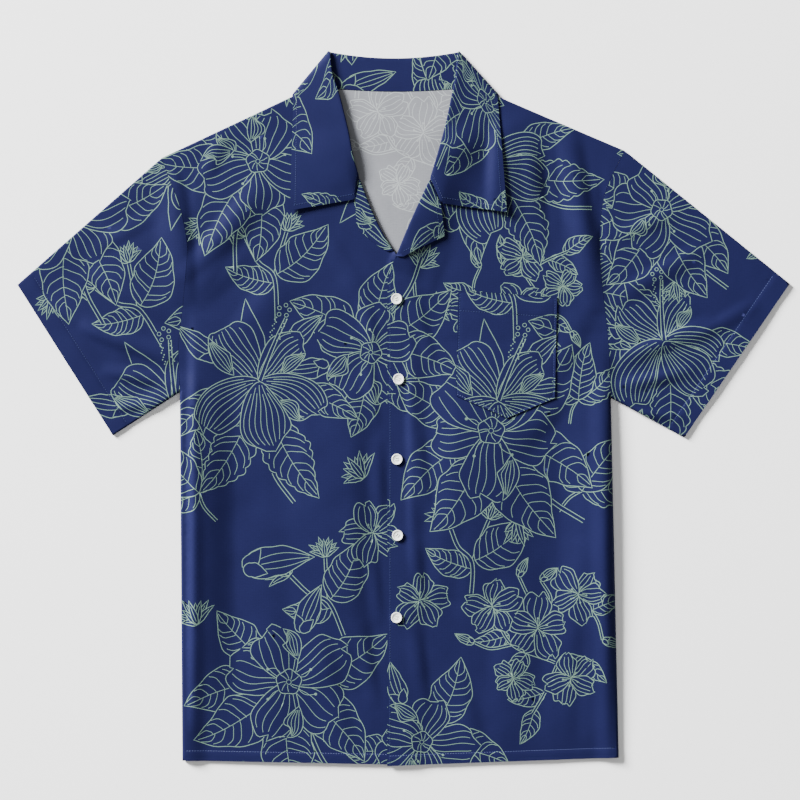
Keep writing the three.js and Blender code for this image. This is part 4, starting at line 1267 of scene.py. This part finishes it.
def collarPanel():
    halves = [collarHalf(half) for half in (right, left)]
    centre = (cloth["backLevel"] + frontLevel) / 2 + cloth["layerStep"]
    stands = np.linspace(1, 0, collar["stands"] + 1)[:-1]
    angles = np.linspace(0, math.pi, collar["turns"] + 1)
    falls = np.linspace(0, 1, collar["falls"] + 1)[1:]
    columns = [{"stand": s, "reach": 0.0, "radius": turnRadius, "fall": 0.0} for s in stands]
    columns += [{"stand": 0.0, "reach": turnRadius * math.sin(a), "fall": 0.0,
                 "radius": turnRadius * (2 - math.cos(a))} for a in angles]
    columns += [{"stand": 0.0, "reach": 0.0, "radius": turnRadius + cloth["layerStep"], "fall": f}
                for f in falls]
    rows = []

    def leafRow(part, v):
        middle, outward = part["rollMiddle"](v)
        foot = part["standFoot"](v)
        plan = []
        lift = []
        for column in columns:
            p = middle + outward * column["reach"]
            if column["stand"]:
                p = mixed(p, foot, column["stand"])
            if column["fall"]:
                p = part["leafPoint"](column["fall"], v)
            plan.append(p)
            edgeLift = collar["lift"] * column["fall"] ** 1.3 * (1 - v) ** collar["liftEase"]
            across = (1 - column["fall"]) * (1 - column["stand"])
            lift.append(edgeLift + part["rollLoft"] * across * max(0, math.sin(math.pi * v)) ** 0.6)
        plan = np.array(plan)
        radii = np.array([column["radius"] for column in columns])
        rows.append(np.column_stack([plan, frontBed(plan) + radii - turnRadius + np.array(lift)]))

    def cornerRow(part, angle, aim):
        forward = aim / math.hypot(*aim)
        row = []
        for column in columns:
            p = part["corner"] + forward * column["reach"]
            p = mixed(p, part["standEnd"], column["stand"])
            p = mixed(p, part["fallSide"], column["fall"])
            p = p + part["outwards"] * column["radius"] * math.sin(angle)
            row.append((*p, centre + column["radius"] * math.cos(angle)))
        rows.append(np.array(row))

    corners = [part["corner"] for part in halves]
    topWidth = gapBetween(*corners)

    def backOutward(u):
        return np.array((4 * collarTopDip * (1 - 2 * u) / topWidth, 1))

    def backRow(u):
        top = mixed(*corners, u) - (0, 4 * collarTopDip * u * (1 - u))
        fallX = float(mixed(halves[0]["fallSide"], halves[1]["fallSide"], u)[0])
        foot = mixed(halves[0]["standEnd"], halves[1]["standEnd"], u)
        foot = foot - (0, neckSeamDip * math.sin(math.pi * u))
        bow = 0.35 * math.sin(math.pi * u)
        row = []
        for column in columns:
            p = top + backOutward(u) * column["reach"]
            p = mixed(p, foot, column["stand"])
            p = mixed(p, (fallX, collarFallEdge(fallX)), column["fall"])
            height = cloth["backLevel"] + cloth["layerStep"] - (column["radius"] - turnRadius)
            row.append((*p, height + bow * math.sin(math.pi * column["stand"])))
        rows.append(np.array(row))

    leafShares = np.linspace(0, 1, collar["leafSteps"] + 1)
    turnAngles = np.linspace(0, math.pi, collar["cornerSteps"] + 1)[1:]
    for v in leafShares:
        leafRow(halves[0], v)
    ends = [part["rollMiddle"](1)[1] for part in halves]
    for angle in turnAngles:
        cornerRow(halves[0], angle, mixed(ends[0], backOutward(0), angle / math.pi))
    for u in np.linspace(0, 1, collar["backSteps"] + 1)[1:-1]:
        backRow(u)
    for angle in turnAngles[::-1]:
        cornerRow(halves[1], angle, mixed(ends[1], backOutward(1), angle / math.pi))
    for v in leafShares[::-1]:
        leafRow(halves[1], v)
    surface = np.array(rows)            # station, column, xyz

    rollColumn = collar["stands"]
    overColumn = rollColumn + collar["turns"]
    lengths = rowLengths(np.diff(surface[:, rollColumn + collar["turns"] // 2], axis=0))
    x = np.concatenate([[0], np.cumsum(np.maximum(lengths, 0.45))])
    acrossSteps = np.sqrt((np.diff(surface, axis=1) ** 2).sum(axis=2))
    y = np.concatenate([np.zeros((len(x), 1)), np.cumsum(acrossSteps, axis=1)], axis=1)
    y -= y[:, rollColumn:rollColumn + 1]
    for k in range(3):                  # even out the widths from station to station
        y[1:-1] = (y[:-2] + 2 * y[1:-1] + y[2:]) / 4
    bottom, top = np.stack([x, y[:, 0]], axis=1), np.stack([x, y[:, -1]], axis=1)
    ends = [np.stack([np.full(y.shape[1], x[k]), y[k]], axis=1) for k in (0, -1)]
    edges = [evenly(line, cloth["lineStep"]) for line in (bottom, ends[1], top[::-1], ends[0][::-1])]
    border = np.concatenate([line[:-1] for line in edges])

    def place(points):
        station = np.interp(points[:, 0], x, np.arange(len(x)))
        low = np.clip(station.astype(int), 0, len(x) - 2)
        along = (station - low)[:, None]
        widths = y[low] * (1 - along) + y[low + 1] * along
        column = (widths <= points[:, 1:]).sum(axis=1) - 1
        column = np.clip(column, 0, y.shape[1] - 2)
        pick = np.arange(len(points))
        start, end = widths[pick, column], widths[pick, column + 1]
        share = np.clip((points[:, 1] - start) / (end - start), 0, 1)[:, None]
        near = surface[low, column] * (1 - share) + surface[low, column + 1] * share
        far = surface[low + 1, column] * (1 - share) + surface[low + 1, column + 1] * share
        return near * (1 - along) + far * along

    def columnLine(k):
        return np.stack([x, y[:, k]], axis=1)

    guides = [evenly(columnLine(k)[1:-1], cloth["lineStep"]) for k in range(rollColumn, overColumn + 1)]
    first = collar["leafSteps"]
    cornerStations = [*range(first, first + collar["cornerSteps"] + 1, 2)]
    cornerStations += [len(x) - 1 - k for k in cornerStations]
    for k in cornerStations:
        guides.append(evenly(np.stack([np.full(y.shape[1], x[k]), y[k]], axis=1)[1:-1], cloth["lineStep"]))
    lines = clothPrint(border.min(axis=0), border.max(axis=0), collar["shift"])
    flat, triangles, printed = trianglesOf(border, guides, lines, cloth["gridStep"])
    piece = shellObject("collar_cloth", flat, triangles, printed, place, innerPrinted=lambda at: at[:, 0] > -1)
    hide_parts("collar")
    inset = collar["stitch"]
    topLine = evenly(top - (0, inset), 6.0)
    topLine = topLine[(topLine[:, 0] > inset) & (topLine[:, 0] < x[-1] - inset)]
    endLines = [np.array([(x[k] + way * inset, 4.0), (x[k] + way * inset, y[k, -1] - inset)])
                for k, way in ((0, 1), (-1, -1))]
    return {"piece": piece, "border": border, "place": place, "stitchLines": [topLine, *endLines]}


collarMade = collarPanel()

# Stitching: short raised threads along the hems and the edges
stitch = {"pitch": 2.9, "length": 2.2, "width": 0.42, "height": 0.22}
stitchCount = 0


def stitchRow(line, place, above=True):
    """Corners of the threads along a line of a panel's plane."""
    run = evenly(line, stitch["pitch"])
    starts = run[:-1]
    ahead = np.diff(run, axis=0)
    ahead = ahead / rowLengths(ahead)[:, None]
    across = np.stack([-ahead[:, 1], ahead[:, 0]], axis=1) * stitch["width"] / 2
    side = 1 if above else -1
    level = cloth["thickness"] / 2 * side
    tip = 0.25 * stitch["length"]
    corners = []
    for along, spread, lift in ((0, 0.45, -0.1), (tip, 1, 1), (stitch["length"] - tip, 1, 1),
                                (stitch["length"], 0.45, -0.1)):
        for way in (1, -1):
            base = place(starts + ahead * along + across * spread * way)
            corners.append(base + (0, 0, level + side * lift * stitch["height"]))
            corners.append(base + (0, 0, level - side * 0.15))
    return np.stack(corners, axis=1)


def stitchObject(name, rows):
    threads = np.concatenate(rows)
    quads = []
    for k in range(3):
        a, b, c, d = (4 * k + n for n in range(4))       # left top, left foot, right top, right foot
        quads += [(a, a + 4, c + 4, c), (b, d, d + 4, b + 4), (a, b, b + 4, a + 4), (c, c + 4, d + 4, d)]
    quads += [(0, 2, 3, 1), (12, 13, 15, 14)]
    faces = [[corner + 16 * k for corner in quad] for k in range(len(threads)) for quad in quads]
    mesh = bpy.data.meshes.new(name)
    mesh.from_pydata((threads.reshape(-1, 3) * metre).tolist(), [], faces)
    mesh.materials.append(threadMaterial)
    work = bmesh.new()
    work.from_mesh(mesh)
    bmesh.ops.recalc_face_normals(work, faces=work.faces)
    work.to_mesh(mesh)
    work.free()
    piece = bpy.data.objects.new(name, mesh)
    bpy.context.collection.objects.link(piece)
    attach(piece, "root")
    print(name, "made:", len(threads), "stitches")
    return piece


threadMaterial, threadNodes, threadLinks = newMaterial("thread")
threadOutput = threadNodes.new("ShaderNodeOutputMaterial")
threadShader = threadNodes.new("ShaderNodeBsdfPrincipled")
threadShader.inputs["Base Color"].default_value = (0.012, 0.021, 0.085, 1)
threadShader.inputs["Roughness"].default_value = 0.5
threadLinks.new(threadShader.outputs["BSDF"], threadOutput.inputs["Surface"])

for name, panel in frontPieces.items():
    half = fronts[name]["half"]
    rows = [stitchRow(row, panel["place"]) for row in panel["stitchLines"]]
    panel["stitches"] = stitchObject(name + "_stitches", rows)
for name, panel in sleevePieces.items():
    over, under = panel["stitchLines"]
    rows = [stitchRow(over, panel["place"]), stitchRow(under, panel["place"], above=False)]
    panel["stitches"] = stitchObject(name + "_stitches", rows)
backStitches = stitchObject("back_stitches", [stitchRow(backPanelMade["stitchLines"][0], backPanelMade["place"],
                                                        above=False)])
pocketStitches = stitchObject("pocket_stitches", [stitchRow(row, pocketMade["place"])
                                                  for row in pocketMade["stitchLines"]])
collarStitches = stitchObject("collar_stitches", [stitchRow(row, collarMade["place"])
                                                  for row in collarMade["stitchLines"]])

# Buttons, modelled once and copied
buttonPlaces = ((-7.7, 120.8), (-5.5, 32.8), (-7.2, -55.2), (-6.6, -138.8), (-7.7, -229.0))
button = {
    "radius": 5.9, "height": 2.1, "rim": 1.15, "dish": 0.6, "wellRadius": 2.9, "wellDepth": 0.15,
    "bevel": 0.28, "holeRadius": 0.62, "holeSpread": 1.25, "threadRadius": 0.28,
}


def plainMaterial(name, colour, roughness, coat=0.0):
    material, nodes, links = newMaterial(name)
    output = nodes.new("ShaderNodeOutputMaterial")
    shader = nodes.new("ShaderNodeBsdfPrincipled")
    shader.inputs["Base Color"].default_value = colour
    shader.inputs["Roughness"].default_value = roughness
    shader.inputs["Coat Weight"].default_value = coat
    links.new(shader.outputs["BSDF"], output.inputs["Surface"])
    return material


buttonMaterial = plainMaterial("buttonShell", (0.80, 0.82, 0.79, 1), 0.28, 0.3)
buttonThread = plainMaterial("buttonThread", (0.62, 0.65, 0.60, 1), 0.7)


def selectFaces(piece, wanted):
    bpy.ops.mesh.select_mode(type="FACE")
    bpy.ops.mesh.select_all(action="DESELECT")
    work = bmesh.from_edit_mesh(piece.data)
    for face in work.faces:
        face.select_set(wanted(face))
    bmesh.update_edit_mesh(piece.data)


def buttonModel():
    mm = {key: value * metre for key, value in button.items()}
    bpy.ops.object.select_all(action="DESELECT")
    bpy.ops.mesh.primitive_cylinder_add(vertices=64, radius=mm["radius"], depth=mm["height"],
                                        location=(0, 0, mm["height"] / 2))
    body = bpy.context.object
    bpy.ops.object.transform_apply(location=True, rotation=False, scale=False)
    bpy.ops.object.mode_set(mode="EDIT")
    selectFaces(body, lambda face: face.normal.z > 0.9)
    bpy.ops.mesh.inset(thickness=mm["rim"])
    bpy.ops.mesh.inset(thickness=mm["dish"] * 0.8)
    bpy.ops.transform.translate(value=(0, 0, -mm["dish"]))
    bpy.ops.mesh.inset(thickness=mm["radius"] - mm["rim"] - mm["dish"] * 0.8 - mm["wellRadius"])
    bpy.ops.mesh.inset(thickness=mm["wellDepth"])
    bpy.ops.transform.translate(value=(0, 0, -mm["wellDepth"]))
    bpy.ops.object.mode_set(mode="OBJECT")
    rounding = body.modifiers.new("rounding", "BEVEL")
    rounding.width = mm["bevel"]
    rounding.segments = 4
    rounding.limit_method = "ANGLE"
    rounding.angle_limit = math.radians(32)
    bpy.ops.object.modifier_apply(modifier="rounding")
    for x in (-1, 1):
        for y in (-1, 1):
            bpy.ops.object.select_all(action="DESELECT")
            bpy.ops.mesh.primitive_cylinder_add(
                vertices=20, radius=mm["holeRadius"], depth=mm["height"] * 3,
                location=(x * mm["holeSpread"], y * mm["holeSpread"], mm["height"] / 2))
            drill = bpy.context.object
            bpy.ops.object.transform_apply(location=True, rotation=False, scale=False)
            bpy.ops.object.select_all(action="DESELECT")
            body.select_set(True)
            bpy.context.view_layer.objects.active = body
            hole = body.modifiers.new("hole", "BOOLEAN")
            hole.operation = "DIFFERENCE"
            hole.object = drill
            bpy.ops.object.modifier_apply(modifier="hole")
            bpy.data.objects.remove(drill, do_unlink=True)
    bpy.ops.object.shade_smooth_by_angle(angle=math.radians(38))
    body.data.materials.append(buttonMaterial)
    floorLevel = mm["height"] - mm["dish"] - mm["wellDepth"]
    threads = []
    for y in (-1, 1):                   # two strands through each pair of holes
        for k in (-0.5, 0.5):
            bpy.ops.object.select_all(action="DESELECT")
            bpy.ops.mesh.primitive_cylinder_add(
                vertices=12, radius=mm["threadRadius"], depth=2 * mm["holeSpread"] + mm["holeRadius"],
                location=(0, y * mm["holeSpread"] + k * 1.7 * mm["threadRadius"],
                          floorLevel + mm["threadRadius"] * 0.7), rotation=(0, math.pi / 2, 0))
            strand = bpy.context.object
            bpy.ops.object.transform_apply(location=True, rotation=True, scale=False)
            bpy.ops.object.mode_set(mode="EDIT")
            selectFaces(strand, lambda face: abs(face.normal.x) > 0.9)
            bpy.ops.mesh.extrude_region_move(TRANSFORM_OT_translate={"value": (0, 0, -2.4 * mm["threadRadius"])})
            bpy.ops.object.mode_set(mode="OBJECT")
            bpy.ops.object.shade_smooth_by_angle(angle=math.radians(50))
            strand.data.materials.append(buttonThread)
            threads.append(strand)
    bpy.ops.object.select_all(action="DESELECT")
    for strand in threads:
        strand.select_set(True)
    body.select_set(True)
    bpy.context.view_layer.objects.active = body
    bpy.ops.object.join()
    return body


model = buttonModel()
for k, (x, y) in enumerate(buttonPlaces):
    around = np.linspace(0, 2 * np.pi, 13)[:-1]
    under = np.array((x, y)) + button["radius"] * 0.9 * np.stack([np.cos(around), np.sin(around)], axis=1)
    seat = float(frontHeight(under, True).max()) + cloth["thickness"] / 2 + 0.05
    copy = bpy.data.objects.new(f"button_{k + 1}_shell", model.data.copy())
    bpy.context.collection.objects.link(copy)
    angle = (0.3, -0.5, 0.15, 0.9, -0.2)[k]
    turn = np.array([[math.cos(angle), -math.sin(angle)], [math.sin(angle), math.cos(angle)]])
    for vertex in copy.data.vertices:
        px, py = turn @ np.array(vertex.co[:2])
        vertex.co = (px + x * metre, py + y * metre, vertex.co.z + seat * metre)
    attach(copy, "root")
    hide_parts(f"button_{k + 1}")
bpy.data.objects.remove(model, do_unlink=True)
print("buttons made")

# Camera straight above, at the photo's frame
camera = bpy.data.objects.new("camera", bpy.data.cameras.new("camera"))
bpy.context.collection.objects.link(camera)
view = {"distance": 2.6, "frameWidth": 0.88, "centre": (-0.00385, 0.00974)}
camera.location = (*view["centre"], view["distance"])
camera.data.sensor_width = 36
camera.data.lens = 36 * view["distance"] / view["frameWidth"]
bpy.context.scene.camera = camera

floorMesh = bpy.data.meshes.new("floor")
floorMesh.from_pydata([(-3, -3, -0.0002), (3, -3, -0.0002), (3, 3, -0.0002), (-3, 3, -0.0002)], [], [(0, 1, 2, 3)])
floor = bpy.data.objects.new("floor", floorMesh)
bpy.context.collection.objects.link(floor)
floorMaterial, floorNodes, floorLinks = newMaterial("floor")
floorOutput = floorNodes.new("ShaderNodeOutputMaterial")
floorShader = floorNodes.new("ShaderNodeBsdfPrincipled")
floorShader.inputs["Base Color"].default_value = (0.97, 0.97, 0.97, 1)
floorShader.inputs["Roughness"].default_value = 0.9
floorLinks.new(floorShader.outputs["BSDF"], floorOutput.inputs["Surface"])
floorMesh.materials.append(floorMaterial)


def areaLight(name, place, size, power, aim=(0, 0, 0)):
    light = bpy.data.lights.new(name, "AREA")
    light.size = size
    light.energy = power
    lamp = bpy.data.objects.new(name, light)
    lamp.location = place
    lamp.rotation_euler = (Vector(aim) - Vector(place)).to_track_quat("-Z", "Y").to_euler()
    bpy.context.collection.objects.link(lamp)


areaLight("key", (-7.5, 5.7, 3.7), 3.2, 7700)
areaLight("fill", (1.4, -1.0, 2.0), 2.0, 9)
areaLight("top", (0, 0, 3.0), 2.5, 16)
world = bpy.data.worlds.new("studio")
world.use_nodes = True
world.node_tree.nodes["Background"].inputs["Color"].default_value = (1, 1, 1, 1)
world.node_tree.nodes["Background"].inputs["Strength"].default_value = 0.21
bpy.context.scene.world = world
print("camera, floor and lights made")

# Each sheet's own flat cut. What the seams and hems take in is left out.
def declareSheet(made):
    size, area = flatSize(made["border"])
    print(made["piece"].name, "flat", [round(value, 3) for value in size], "area", round(area, 4))


declareSheet(backPanelMade)
for name in fronts:
    declareSheet(frontPieces[name])
for name in sleeves:
    declareSheet(sleevePieces[name])
declareSheet(collarMade)
declareSheet(pocketMade)
